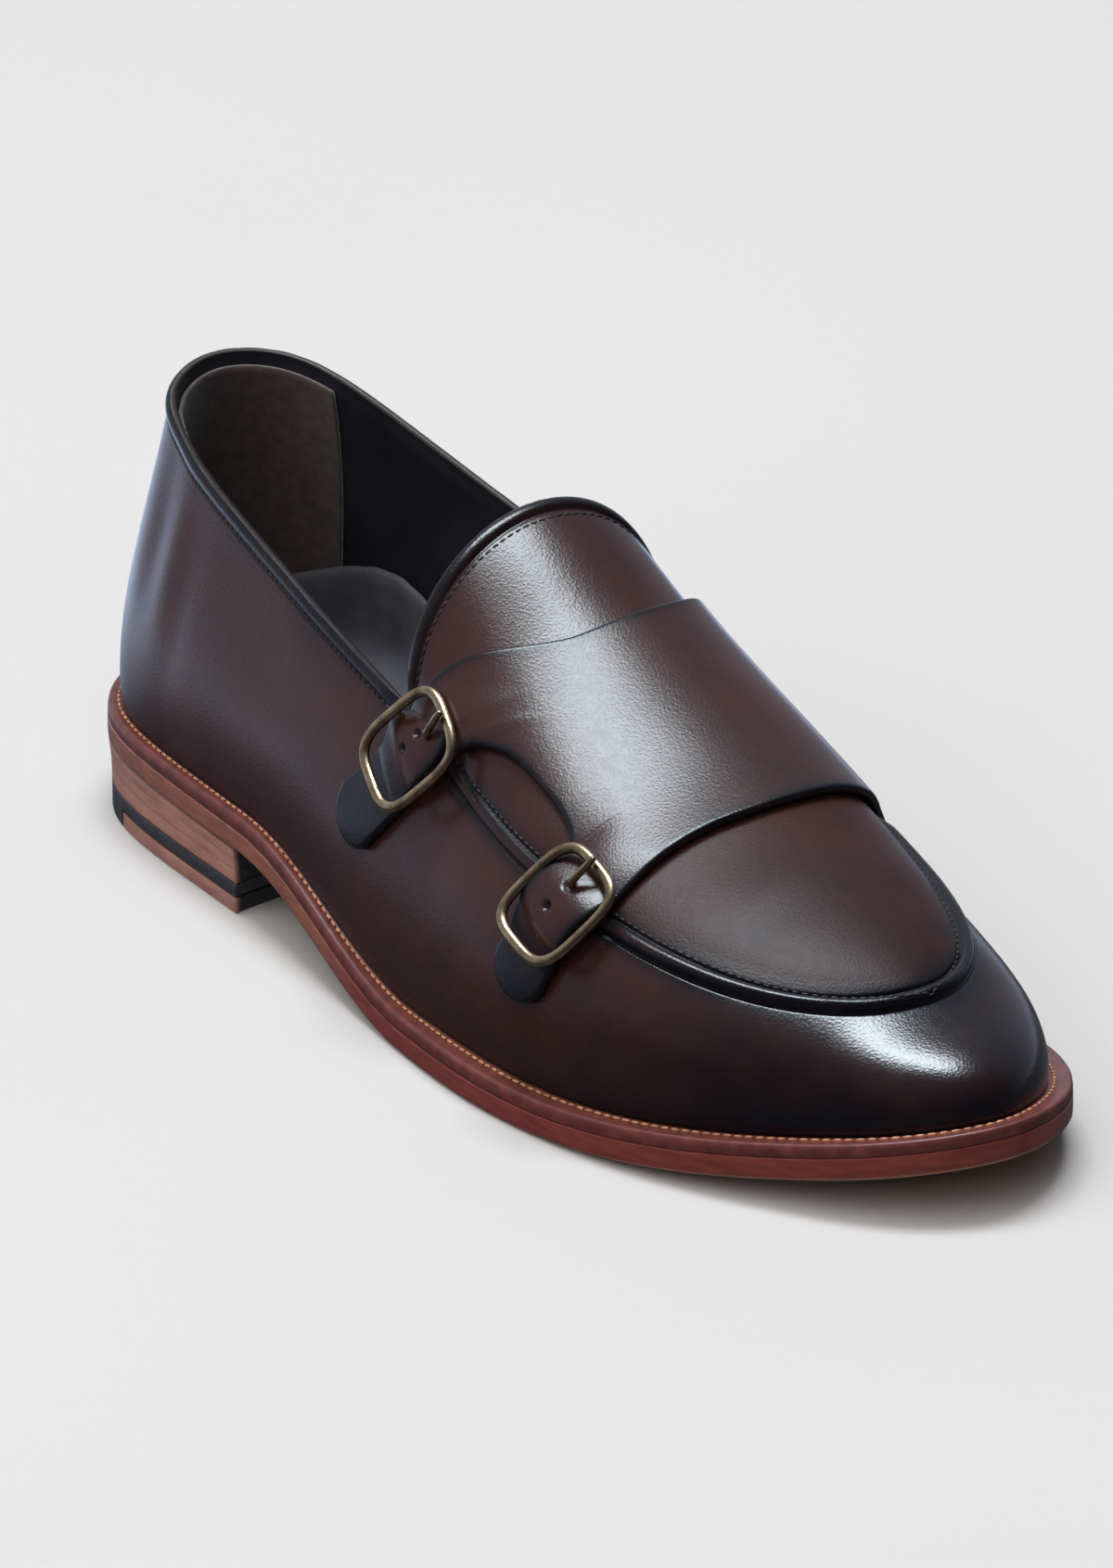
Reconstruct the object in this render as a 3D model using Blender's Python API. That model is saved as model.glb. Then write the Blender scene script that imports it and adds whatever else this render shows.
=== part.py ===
"""Double monk strap loafer, right shoe, on a stitched welt and a low stacked heel.

The shoe points along +X with its outer (lateral) side at -Y and stands on Z = 0.
All sizes are in metres.  Run it with: blender --background --python part.py
"""
import bpy
import bmesh
import numpy as np

# ---------------------------------------------------------------- driving sizes
LENGTH = 0.300            # outsole, heel to toe
BALL_WIDTH = 0.104        # outsole across the ball of the foot
INSTEP_HEIGHT = 0.0984    # floor to the top of the tongue

HEEL_HEIGHT = 0.0150      # floor to the underside of the outsole at the breast
HEEL_PITCH = 0.0020       # how much higher the seat is at the very back
TOE_SPRING = 0.0120       # underside of the toe tip above the floor
BREAST_X = -0.064         # heel breast, measured from mid length
BREAST_HOLLOW = 0.0040    # depth of the curve in the breast face
BALL_START_X = 0.015      # the sole lies flat on the floor from here ...
BALL_END_X = 0.055        # ... to here

OUTSOLE = 0.0050          # leather outsole
WELT = 0.0030             # welt strip stitched on top of it
INSOLE = 0.0048           # insole, set down inside the welt
UPPER_WALL = 0.0022       # upper leather with its lining
GAP = 0.0003              # clearance between pieces that lie on each other

WELT_SHOW_FRONT = 0.0050  # welt left showing round the forefoot
WELT_SHOW_BACK = 0.0030   # and round the heel

TIP_THICK = 0.0035        # leather tip under the front of the heel
RUBBER_THICK = 0.0067     # rubber lift, which is this thick behind the tip
TIP_BACK_X = -0.118       # back end of the leather tip
HEEL_INSET = 0.0008       # how far the heel sits inside the outsole's edge
EDGE_BEVEL = 0.0009       # broken lower edge of the outsole

RIDGE_HEIGHT = 0.0014     # corded seam round the apron
RIDGE_UNDER_STRAP = 0.0004
RIDGE_HALF = 0.0016       # half the width of the cord
PIPING = 0.0008           # roll along the collar and the tongue edge
PIPING_WIDTH = 0.0030

STRAP_THICK = 0.0018
STRAP_LIFT = 0.0011       # underside of the strap above the bare upper
STRAP_DIP = 0.0005        # the same under the ends of a buckle
STRAP_HUMP = 0.0036       # and over its centre bar
BRANCH_WIDTH = 0.0142     # each end of the strap
BUCKLE_LENGTH = 0.0248
BUCKLE_WIDTH = 0.0222
BUCKLE_BAR = 0.0021       # diameter of the brass frame
BUCKLE_CORNER = 0.0062
CENTRE_BAR = 0.0016       # diameter of the bar under the strap
CENTRE_BAR_LIFT = 0.0021
PRONG = 0.0014            # diameter of the prong
PRONG_START = 0.0052      # where it leaves the strap, from the middle of the frame

# Pattern last, in millimetres.  The named sizes above scale it.  Rows run along each side
# of the shoe from the back of the heel to the toe.
PATTERN_LENGTH, PATTERN_BALL, PATTERN_INSTEP = 300.0, 104.0, 98.4

# sole_x sole_y: outline of the outsole.  edge_x edge_y edge_z: top edge of the side wall,
# which is the collar back to row 7 and the apron seam from there on.  low_out low_up and
# high_out high_down: how the wall swells above the welt and below its top edge.
LATERAL_ROWS = [
    # sole_x  sole_y  edge_x  edge_y edge_z low_out low_up high_out high_down
    (-150.0,   0.0, -137.7,   2.0, 95.4,  1.5, 24.0,  5.0, 26.0),
    (-146.8, -12.5, -135.9,  -6.4, 94.3,  1.5, 24.0,  5.0, 26.0),
    (-138.5, -24.5, -130.2, -13.9, 91.7,  1.5, 24.0,  5.0, 26.0),
    (-125.0, -33.8, -119.5, -18.6, 88.0,  1.5, 22.0,  5.5, 24.0),
    (-105.0, -38.5, -101.0, -22.8, 83.0,  1.5, 20.0,  5.5, 22.0),
    ( -78.0, -40.8,  -72.0, -26.0, 76.0,  1.0, 18.0,  5.5, 20.0),
    ( -50.0, -43.0,  -42.0, -28.5, 68.6,  1.0, 16.0,  6.5, 17.5),
    ( -22.0, -47.0,  -12.5, -30.8, 62.3,  1.5, 15.0,  7.5, 14.5),
    (   5.0, -51.0,   10.0, -34.0, 56.0,  1.5, 14.0,  8.0, 13.0),
    (  32.0, -54.0,   34.0, -37.3, 50.3,  1.5, 13.0,  8.0, 11.5),
    (  56.0, -54.0,   56.0, -37.5, 46.0,  1.0, 12.5,  9.0, 10.0),
    (  80.0, -50.0,   79.0, -34.8, 42.3,  0.8, 12.0, 10.0,  8.5),
    ( 102.0, -42.0,   98.5, -27.5, 39.2,  0.5, 11.5, 11.5,  7.5),
    ( 121.0, -31.5,  111.0, -17.5, 37.4,  0.5, 11.0, 12.0,  6.5),
    ( 136.5, -20.5,  117.3,  -7.5, 36.7,  0.5, 11.0, 12.0,  6.0),
    ( 146.5,  -8.0,  119.3,   0.5, 36.6,  0.5, 11.0, 12.0,  6.0),
]
TOE_ROW = (150.0, 4.5, 119.5, 6.0, 36.7, 0.5, 11.0, 12.0, 6.0)
MEDIAL_ROWS = [
    (-146.5,  12.0, -135.6,  10.6, 95.1,  1.5, 24.0,  5.0, 26.0),
    (-138.0,  22.5, -129.7,  18.1, 93.6,  1.5, 24.0,  5.0, 26.0),
    (-125.0,  30.0, -119.0,  22.9, 90.8,  1.5, 22.0,  5.5, 24.0),
    (-105.0,  33.0, -101.0,  25.8, 86.5,  1.5, 20.0,  6.0, 22.0),
    ( -78.0,  31.0,  -73.0,  28.9, 80.0,  2.5, 18.0,  4.5, 20.0),
    ( -50.0,  27.5,  -43.0,  32.1, 72.8,  5.0, 16.0,  3.0, 18.0),
    ( -22.0,  28.0,  -13.0,  33.4, 65.2,  6.0, 15.0,  2.2, 15.0),
    (   5.0,  33.5,    9.0,  35.3, 57.5,  5.5, 14.0,  2.4, 13.0),
    (  32.0,  42.3,   33.0,  36.6, 51.8,  3.0, 13.0,  4.0, 11.5),
    (  56.0,  48.5,   56.0,  36.5, 47.2,  1.5, 12.5,  6.3, 10.0),
    (  80.0,  49.5,   78.0,  34.0, 43.3,  1.0, 12.0,  8.2,  8.5),
    ( 102.0,  47.0,   96.5,  29.5, 40.4,  0.5, 11.5, 10.2,  7.5),
    ( 121.0,  40.5,  109.0,  23.5, 38.3,  0.5, 11.0, 12.0,  6.5),
    ( 137.0,  29.5,  115.5,  17.0, 37.3,  0.5, 11.0, 12.0,  6.0),
    ( 146.8,  16.5,  118.6,  11.2, 36.9,  0.5, 11.0, 12.0,  6.0),
]
# Crown of the apron over each pair of edge rows, from the tongue's edge to the toe.
# rise: crown above the seam.  angle: slope at the seam in degrees.  lat_back, med_back:
# how far each half of the crown bows back towards the heel.  crest: how much more the
# medial half rises, which moves the crest of the instep to that side.
CROWN_ROWS = [
    # row  rise  angle lat_back med_back crest
    ( 7.0, 34.3, 92.0,  4.5, 10.5, 0.13),
    ( 8.0, 26.5, 86.0,  1.0,  3.0, 0.20),
    ( 9.0, 19.8, 78.0,  0.0,  0.0, 0.26),
    (10.0, 14.6, 66.0,  0.0,  0.0, 0.26),
    (11.0, 11.0, 50.0,  0.0,  0.0, 0.20),
    (12.0,  7.8, 38.0,  0.0,  0.0, 0.12),
    (13.0,  5.0, 30.0,  0.0,  0.0, 0.06),
    (14.0,  2.7, 22.0,  0.0,  0.0, 0.0),
    (15.0,  1.0, 16.0,  0.0,  0.0, 0.0),
    (16.0,  0.0, 12.0,  0.0,  0.0, 0.0),
]
CORNER_ROW = 7.0          # the collar meets the apron seam here
TOE_END = 16.0            # row number of the toe
ROUND = 32.0              # rows right round the shoe

# Strap over the instep, from the edge sewn to the medial side to where it splits in two.
# Places on the upper are a row and a distance across: 0-1 up the lateral wall, 1-2 over
# the apron and 2-3 down the medial wall.  bow: how far the middle of the station sags.
STRAP_STATIONS = [
    # rear_row rear_across front_row front_across bow
    (6.97, 2.34,  9.87, 2.54, 0.13),
    (6.84, 2.26, 10.04, 2.47, 0.12),
    (7.00, 2.13, 10.06, 2.31, 0.08),
    (7.28, 2.02, 10.06, 2.13, 0.05),
    (7.51, 1.93, 10.12, 1.98, 0.02),
    (7.82, 1.82, 10.26, 1.86, 0.0),
    (8.05, 1.71, 10.36, 1.74, 0.0),
    (8.15, 1.60, 10.43, 1.62, 0.0),
    (8.18, 1.49, 10.45, 1.50, 0.0),
    (8.12, 1.38, 10.43, 1.39, 0.0),
    (7.98, 1.28, 10.42, 1.29, 0.0),
    (7.74, 1.15, 10.45, 1.14, 0.0),
]
# Each end of the strap and its buckle: where the end starts, where its rounded tip ends
# and the middle of the buckle, as rows and distances across.  turn: how far the buckle is
# turned from the strap towards the heel.  tilt: how far its lower end stands away from the
# upper, both in degrees.  lift: its middle above the upper.
BRANCHES = {
    # name     top_row top_across tip_row tip_across buckle_row buckle_across turn tilt lift
    "rear":  ( 7.76, 1.115, 7.01, 0.43,  7.56, 0.945, 6.0, 10.0, 0.0070),
    "front": (10.17, 1.115, 9.79, 0.43, 10.09, 0.925, 0.0,  8.0, 0.0048),
}
SPLIT_REAR, SPLIT_FRONT = 2, 9     # strap columns where the rear end stops and the front one starts
STRAP_COLUMNS = 12
BRANCH_STEPS = 18

# Mesh density of the upper
ROWS_AROUND = 64
WALL_STEPS = 7
APRON_STEPS = 13

LEATHER = (0.055, 0.026, 0.020)
STRAP_LEATHER = (0.062, 0.030, 0.023)
WELT_TAN = (0.42, 0.16, 0.06)
SOLE_RED = (0.26, 0.07, 0.035)
HEEL_TAN = (0.40, 0.17, 0.08)
RUBBER_BLACK = (0.018, 0.018, 0.022)
INSOLE_BLACK = (0.030, 0.030, 0.034)
BRASS = (0.50, 0.38, 0.20)


# ---------------------------------------------------------------- the last
def closed_spline(values, places):
    """Smooth closed curve through rows of values, read at the given row numbers."""
    values = np.asarray(values, dtype=float)
    count = len(values)
    system = np.zeros((count, count))
    for row in range(count):
        system[row, row] = 4.0
        system[row, (row - 1) % count] = 1.0
        system[row, (row + 1) % count] = 1.0
    ahead, behind = np.roll(values, -1, axis=0), np.roll(values, 1, axis=0)
    slope = np.linalg.solve(system, 3.0 * (ahead - behind))
    places = np.mod(np.asarray(places, dtype=float), count)
    start = np.floor(places).astype(int) % count
    end = (start + 1) % count
    t = (places - np.floor(places))[:, None]
    return (values[start] * (2 * t**3 - 3 * t**2 + 1) + slope[start] * (t**3 - 2 * t**2 + t)
            + values[end] * (3 * t**2 - 2 * t**3) + slope[end] * (t**3 - t**2))


def open_spline(knots, values, places):
    """Smooth open curve through values at rising knots (Catmull-Rom slopes)."""
    knots, values = np.asarray(knots, dtype=float), np.asarray(values, dtype=float)
    slope = np.gradient(values, knots)
    places = np.clip(places, knots[0], knots[-1])
    start = np.clip(np.searchsorted(knots, places, side="right") - 1, 0, len(knots) - 2)
    span = knots[start + 1] - knots[start]
    t = (places - knots[start]) / span
    return (values[start] * (2 * t**3 - 3 * t**2 + 1) + slope[start] * span * (t**3 - 2 * t**2 + t)
            + values[start + 1] * (3 * t**2 - 2 * t**3) + slope[start + 1] * span * (t**3 - t**2))


def row_scale():
    """Scale of each column of the row tables, from the pattern to the driving sizes."""
    along = LENGTH * 1000 / PATTERN_LENGTH
    across = BALL_WIDTH * 1000 / PATTERN_BALL
    up = INSTEP_HEIGHT * 1000 / PATTERN_INSTEP
    return np.array([along, across, along, across, up, across, up, across, up])


ROW_SCALE = row_scale()
ROWS = np.array(LATERAL_ROWS + [TOE_ROW] + MEDIAL_ROWS[::-1]) * 0.001 * ROW_SCALE


def smooth_step(t):
    t = np.clip(t, 0.0, 1.0)
    return t * t * (3.0 - 2.0 * t)


def sole_bottom(x):
    """Height of the outsole's underside: heel seat, waist, flat ball, toe spring."""
    x = np.asarray(x, dtype=float)
    seat = HEEL_HEIGHT + HEEL_PITCH * np.clip((BREAST_X - x) / (LENGTH / 2 + BREAST_X), 0, 1)
    waist = 1.0 - smooth_step((x - BREAST_X) / (BALL_START_X - BREAST_X))
    spring = TOE_SPRING * np.clip((x - BALL_END_X) / (LENGTH / 2 - BALL_END_X), 0, 1) ** 2
    return seat * waist + spring


def sole_outline(places):
    """Outline of the outsole in plan, and its outward direction, at the given rows."""
    point = closed_spline(ROWS[:, :2], places)
    ahead = closed_spline(ROWS[:, :2], places + 0.02)
    behind = closed_spline(ROWS[:, :2], places - 0.02)
    along = ahead - behind
    along /= np.linalg.norm(along, axis=1)[:, None]
    outward = np.stack([along[:, 1], -along[:, 0]], axis=1)
    return point, outward


def welt_show(places):
    """Width of welt that shows outside the upper, wider round the forefoot."""
    front = np.minimum(np.mod(places, ROUND), ROUND - np.mod(places, ROUND))
    return WELT_SHOW_BACK + (WELT_SHOW_FRONT - WELT_SHOW_BACK) * smooth_step((front - 6.5) / 3.0)


def inset_outline(places, inset):
    point, outward = sole_outline(places)
    return point + outward * (-inset)[:, None]


def sole_top(x):
    """Height of the top of the welt."""
    return sole_bottom(x) + OUTSOLE + WELT


def bezier(first, near, far, last, t):
    t = t[:, None]
    return first * (1 - t)**3 + near * 3 * t * (1 - t)**2 + far * 3 * t**2 * (1 - t) + last * t**3


def wall_points(places, t):
    """Side wall: t runs from 0 on the welt to 1 on the collar or the apron seam."""
    data = closed_spline(ROWS, places)
    _, outward = sole_outline(places)
    foot = inset_outline(places, welt_show(places))
    out3 = np.column_stack([outward, np.zeros(len(places))])
    up3 = np.array([0.0, 0.0, 1.0])
    base = np.column_stack([foot, sole_top(foot[:, 0]) + GAP])
    top = data[:, 2:5]
    low = base + out3 * data[:, 5:6] + up3 * data[:, 6:7]
    high = top + out3 * data[:, 7:8] - up3 * data[:, 8:9]
    return bezier(base, low, high, top, t)


def apron_points(rows, t):
    """Apron and instep: t runs across from 0 on the lateral seam to 1 on the medial seam."""
    row, rise, angle, lat_back, med_back, crest = np.array(CROWN_ROWS).T
    rise = open_spline(row, rise, rows) * ROW_SCALE[4] * 0.001
    angle = np.radians(open_spline(row, angle, rows))
    lat_back = open_spline(row, lat_back, rows) * 0.001
    med_back = open_spline(row, med_back, rows) * 0.001
    crest = open_spline(row, crest, rows)
    lateral = closed_spline(ROWS[:, 2:5], rows)
    medial = closed_spline(ROWS[:, 2:5], ROUND - rows)
    upward = rise / 0.75
    inward = upward / np.tan(angle)
    near = lateral + np.column_stack([-lat_back, inward, upward * (1 - crest)])
    far = medial + np.column_stack([-med_back, -inward, upward * (1 + crest)])
    return bezier(lateral, near, far, medial, t)


def upper_points(rows, across):
    """Outer face of the upper.  across: 0-1 lateral wall, 1-2 apron, 2-3 medial wall."""
    rows, across = np.asarray(rows, dtype=float), np.asarray(across, dtype=float)
    lateral = wall_points(rows, np.clip(across, 0, 1))
    apron = apron_points(rows, np.clip(across - 1, 0, 1))
    medial = wall_points(ROUND - rows, np.clip(3 - across, 0, 1))
    side = across[:, None]
    return np.where(side < 1, lateral, np.where(side <= 2, apron, medial))


def normals_at(rows, across):
    """Outward normals of the upper, with the two directions along its surface."""
    step = 0.01
    along = upper_points(rows + step, across) - upper_points(rows - step, across)
    over = upper_points(rows, across + step) - upper_points(rows, across - step)
    normal = np.cross(along, over)
    normal /= np.linalg.norm(normal, axis=1)[:, None]
    return normal, along / (2 * step), over / (2 * step)


def sideways_places(rows, across, offset):
    """Places on the upper at a distance to one side of a line of places."""
    middle = upper_points(rows, across)
    normal, along, over = normals_at(rows, across)
    tangent = np.gradient(middle, axis=0)
    side = np.cross(normal, tangent)
    side /= np.linalg.norm(side, axis=1)[:, None]
    moved = []
    for index in range(len(rows)):
        surface = np.column_stack([along[index], over[index]])
        moved.append(np.linalg.lstsq(surface, side[index], rcond=None)[0])
    moved = np.array(moved)
    return rows + moved[:, 0] * offset, across + moved[:, 1] * offset


# ---------------------------------------------------------------- building the pieces
def make_material(name, colour, roughness, metallic):
    material = bpy.data.materials.new(name)
    material.use_nodes = True
    shader = material.node_tree.nodes["Principled BSDF"]
    shader.inputs["Base Color"].default_value = (*colour, 1.0)
    shader.inputs["Roughness"].default_value = roughness
    shader.inputs["Metallic"].default_value = metallic
    material.diffuse_color = (*colour, 1.0)
    return material


def add_solid(name, points, faces, material, smooth_angle=None):
    """One closed mesh object; faces are turned outwards."""
    mesh = bpy.data.meshes.new(name)
    mesh.from_pydata([tuple(point) for point in points], [], faces)
    shape = bmesh.new()
    shape.from_mesh(mesh)
    bmesh.ops.recalc_face_normals(shape, faces=shape.faces)
    shape.to_mesh(mesh)
    shape.free()
    item = bpy.data.objects.new(name, mesh)
    bpy.context.scene.collection.objects.link(item)
    mesh.materials.append(material)
    if smooth_angle is not None:
        mesh.shade_smooth()
        mesh.set_sharp_from_angle(angle=np.radians(smooth_angle))
    return item


def close_sheet(outer, inner, faces):
    """Closed solid between two matching sheets of points that share their faces."""
    count = len(outer)
    edges = set()
    for face in faces:
        edges.update(zip(face, face[1:] + face[:1]))
    rim = [(b, a, a + count, b + count) for a, b in sorted(edges) if (b, a) not in edges]
    back = [tuple(index + count for index in reversed(face)) for face in faces]
    return np.vstack([outer, inner]), list(faces) + back + rim


def half_round(distance, half_width):
    return np.sqrt(np.clip(1.0 - (distance / half_width)**2, 0.0, 1.0))


def upper_places():
    """Row numbers of the upper's columns, with extra ones along the tongue's edge."""
    places = [ROUND * index / ROWS_AROUND for index in range(ROWS_AROUND)]
    for extra in (0.035, 0.10, 0.145):
        places += [CORNER_ROW + extra, ROUND - CORNER_ROW - extra]
    return np.array(sorted(places))


def make_upper(material):
    places = upper_places()
    count = len(places)
    seam = (places >= CORNER_ROW) & (places <= ROUND - CORNER_ROW)
    bead = np.where(seam, RIDGE_HALF, PIPING_WIDTH)

    # Side wall, with close columns of points just below its top edge
    top = closed_spline(ROWS, places)
    reach = 3.0 * np.hypot(top[:, 7], top[:, 8])
    steps = []
    for part in np.linspace(0.0, 1.0, WALL_STEPS):
        steps.append(part * (1.0 - bead / reach))
    for part in (0.8, 0.45, 0.16, 0.0):
        steps.append(1.0 - part * bead / reach)
    levels = len(steps)
    points = [wall_points(places, t) for t in steps]
    faces = []
    for level in range(levels - 1):
        for column in range(count):
            after = (column + 1) % count
            faces.append((level * count + column, level * count + after,
                          (level + 1) * count + after, (level + 1) * count + column))
    index_of = {round(place, 4): (levels - 1) * count + column for column, place in enumerate(places)}

    # Apron between the two halves of the seam, closing on one point at the toe
    rows = places[(places >= CORNER_ROW) & (places <= TOE_END)]
    lateral_edge = apron_points(rows, np.zeros(len(rows)))
    medial_edge = apron_points(rows, np.ones(len(rows)))
    start = apron_points(rows, np.full(len(rows), 0.02)) - lateral_edge
    finish = apron_points(rows, np.full(len(rows), 0.98)) - medial_edge
    near = np.minimum(0.02 * RIDGE_HALF / np.maximum(np.linalg.norm(start, axis=1), 1e-9), 0.22)
    far = np.minimum(0.02 * RIDGE_HALF / np.maximum(np.linalg.norm(finish, axis=1), 1e-9), 0.22)
    steps = [near * 0.45, near]
    for part in np.linspace(0.0, 1.0, APRON_STEPS)[1:-1]:
        steps.append(near + (1.0 - near - far) * part)
    steps += [1.0 - far, 1.0 - far * 0.45]
    inside = len(steps)
    first = levels * count
    sheet = [apron_points(rows, t) for t in steps]
    points += [column[:-1] for column in sheet]
    body = len(rows) - 1

    def apron_index(row, step):
        if step == 0 or row == body:
            return index_of[round(rows[row], 4)]
        if step == inside + 1:
            return index_of[round(ROUND - rows[row], 4)]
        return first + (step - 1) * body + row

    for row in range(body):
        for step in range(inside + 1):
            face = (apron_index(row, step), apron_index(row + 1, step),
                    apron_index(row + 1, step + 1), apron_index(row, step + 1))
            faces.append(tuple(dict.fromkeys(face)))
    points = np.vstack(points)

    # Inner face: the wall's thickness inside the bare shape
    normal = np.zeros_like(points)
    for face in faces:
        corner = points[list(face)]
        area = np.cross(corner[2] - corner[0], corner[-1] - corner[1])
        normal[list(face)] += area
    normal /= np.linalg.norm(normal, axis=1)[:, None]
    _, outward = sole_outline(places)
    normal[:count] = np.column_stack([outward, np.zeros(count)])
    inner = points - normal * UPPER_WALL
    inner[:count, 2] = points[:count, 2]

    # Outer face: corded seam round the apron and a roll along the collar and tongue
    line = np.linspace(CORNER_ROW, ROUND - CORNER_ROW, 1201)
    seam_line = closed_spline(ROWS[:, 2:5], line)
    strap_front = np.where(line < ROUND / 2, 10.55, 10.1)
    front = np.minimum(line, ROUND - line) - strap_front
    seam_height = RIDGE_UNDER_STRAP + (RIDGE_HEIGHT - RIDGE_UNDER_STRAP) * smooth_step(front / 0.3)
    across = np.linspace(0.0, 1.0, 301)
    tongue = apron_points(np.full(301, CORNER_ROW), across)
    collar_rows = np.linspace(-CORNER_ROW, CORNER_ROW, 901)
    edge_line = np.vstack([closed_spline(ROWS[:, 2:5], collar_rows), tongue])
    to_seam = np.linalg.norm(points[:, None, :] - seam_line[None], axis=2)
    nearest = to_seam.argmin(axis=1)
    ridge = seam_height[nearest] * half_round(to_seam.min(axis=1), RIDGE_HALF)
    to_edge = np.linalg.norm(points[:, None, :] - edge_line[None], axis=2).min(axis=1)
    roll = PIPING * half_round(to_edge - PIPING_WIDTH / 2, PIPING_WIDTH / 2)
    outer = points + normal * np.maximum(ridge, roll)[:, None]
    solid, faces = close_sheet(outer, inner, faces)
    return add_solid("upper", solid, faces, material, 50)


# ---------------------------------------------------------------- sole and heel
def loop_of(rows, inset, height):
    """Closed loop of the sole's outline, drawn in by an inset, at a height."""
    plan = inset_outline(rows, inset)
    return np.column_stack([plan, height(plan[:, 0])])


def make_plate(name, levels, half, material, smooth_angle):
    """Closed plate from loops stacked upwards, capped by strips across the shoe."""
    count = len(levels[0])
    points = np.vstack(levels)
    faces = []
    for level in range(len(levels) - 1):
        for place in range(count):
            after = (place + 1) % count
            faces.append((level * count + place, level * count + after,
                          (level + 1) * count + after, (level + 1) * count + place))
    for base, turn in ((0, -1), ((len(levels) - 1) * count, 1)):
        for place in range(half):
            strip = (base + place, base + place + 1, base + (count - place - 1) % count,
                     base + (count - place) % count)
            strip = tuple(dict.fromkeys(strip))
            faces.append(strip[::turn])
    return add_solid(name, points, faces, material, smooth_angle)


def make_outsole(material):
    count = 96
    rows = np.arange(count) * ROUND / count
    none = np.zeros(count)
    levels = [loop_of(rows, none + EDGE_BEVEL, sole_bottom),
              loop_of(rows, none, lambda x: sole_bottom(x) + EDGE_BEVEL),
              loop_of(rows, none, lambda x: sole_bottom(x) + OUTSOLE)]
    return make_plate("outsole", levels, count // 2, material, 30)


def make_insole(material):
    count = 96
    rows = np.arange(count) * ROUND / count
    inset = welt_show(rows) + UPPER_WALL + 2 * GAP
    levels = [loop_of(rows, inset, lambda x: sole_bottom(x) + OUTSOLE + GAP),
              loop_of(rows, inset, lambda x: sole_bottom(x) + OUTSOLE + INSOLE)]
    return make_plate("insole", levels, count // 2, material, 40)


def make_welt(material):
    count = 96
    rows = np.arange(count) * ROUND / count
    inner = welt_show(rows) + UPPER_WALL
    low, high = OUTSOLE + GAP, OUTSOLE + WELT
    outer = np.full(count, 0.0003)
    loops = [loop_of(rows, outer, lambda x: sole_bottom(x) + low),
             loop_of(rows, outer, lambda x: sole_bottom(x) + high),
             loop_of(rows, inner, lambda x: sole_bottom(x) + high),
             loop_of(rows, inner, lambda x: sole_bottom(x) + low)]
    faces = []
    for level in range(4):
        for place in range(count):
            after = (place + 1) % count
            faces.append((level * count + place, level * count + after,
                          (level + 1) % 4 * count + after, (level + 1) % 4 * count + place))
    return add_solid("welt", np.vstack(loops), faces, material, 30)


def heel_outline(steps, front_x, hollow):
    """Plan of a heel layer, anticlockwise: medial corner, round the back, lateral corner,
    and a front edge that curves back by the hollow."""
    dense = np.linspace(-8.0, 8.0, 1601)
    plan = inset_outline(dense, np.full(len(dense), HEEL_INSET))
    lateral = dense[800:][np.argmax(plan[800:, 0] > front_x)]
    medial = dense[:801][::-1][np.argmax(plan[:801][::-1, 0] > front_x)]
    rows = np.linspace(medial, lateral, steps)
    back = inset_outline(rows, np.full(steps, HEEL_INSET))
    back[0, 0] = back[-1, 0] = front_x
    across = np.linspace(0.0, 1.0, 13)[1:-1]
    curve = front_x - hollow * np.sin(np.pi * across)**0.8
    breast = np.column_stack([curve, back[-1, 1] + (back[0, 1] - back[-1, 1]) * across])
    return np.vstack([back, breast])


def make_block(name, plan, low, high, material):
    """Upright block over a plan, between two heights, which may vary along the plan."""
    count = len(plan)
    points = np.vstack([np.column_stack([plan, np.full(count, low)]),
                        np.column_stack([plan, np.full(count, high)])])
    faces = [tuple(range(count))[::-1], tuple(range(count, 2 * count))]
    for place in range(count):
        after = (place + 1) % count
        faces.append((place, after, count + after, count + place))
    return add_solid(name, points, faces, material, 30)


def make_heel(stack_material, rubber_material):
    plan = heel_outline(41, BREAST_X, BREAST_HOLLOW)
    make_block("heel_stack", plan, RUBBER_THICK + GAP, sole_bottom(plan[:, 0]) - GAP, stack_material)

    # The leather tip fills the step under the front of the rubber lift
    front = plan[:, 0] > TIP_BACK_X
    turn = np.flatnonzero(~front)
    before, after = turn[0] - 1, turn[-1] + 1
    cut = []
    for inside, outside in ((before, turn[0]), (after, turn[-1])):
        part = (TIP_BACK_X - plan[inside, 0]) / (plan[outside, 0] - plan[inside, 0])
        cut.append(plan[inside] + (plan[outside] - plan[inside]) * part)
    tip_plan = np.vstack([plan[:before + 1], cut[0] + (GAP, 0), cut[1] + (GAP, 0), plan[after:]])
    make_block("heel_tip", tip_plan, 0.0, TIP_THICK, stack_material)

    plan = np.vstack([plan[:before + 1], cut[0], plan[turn], cut[1], plan[after:]])
    count = len(plan)
    first, last = before + 1, before + 2 + len(turn)
    loops = [np.column_stack([plan, np.full(count, height)])
             for height in (0.0, TIP_THICK + GAP, RUBBER_THICK)]
    faces = [tuple(range(2 * count, 3 * count)),
             tuple(range(first, last + 1))[::-1],
             (first, count + first, count + last, last)]
    faces.append(tuple(count + (last + step) % count for step in range(count - last + first + 1))[::-1])
    for place in range(count):
        after = (place + 1) % count
        faces.append((count + place, count + after, 2 * count + after, 2 * count + place))
        if first <= place < last:
            faces.append((place, after, count + after, count + place))
    used = sorted({index for face in faces for index in face})
    renumber = {old: new for new, old in enumerate(used)}
    faces = [tuple(renumber[index] for index in face) for face in faces]
    add_solid("heel_rubber", np.vstack(loops)[used], faces, rubber_material, 30)


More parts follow.
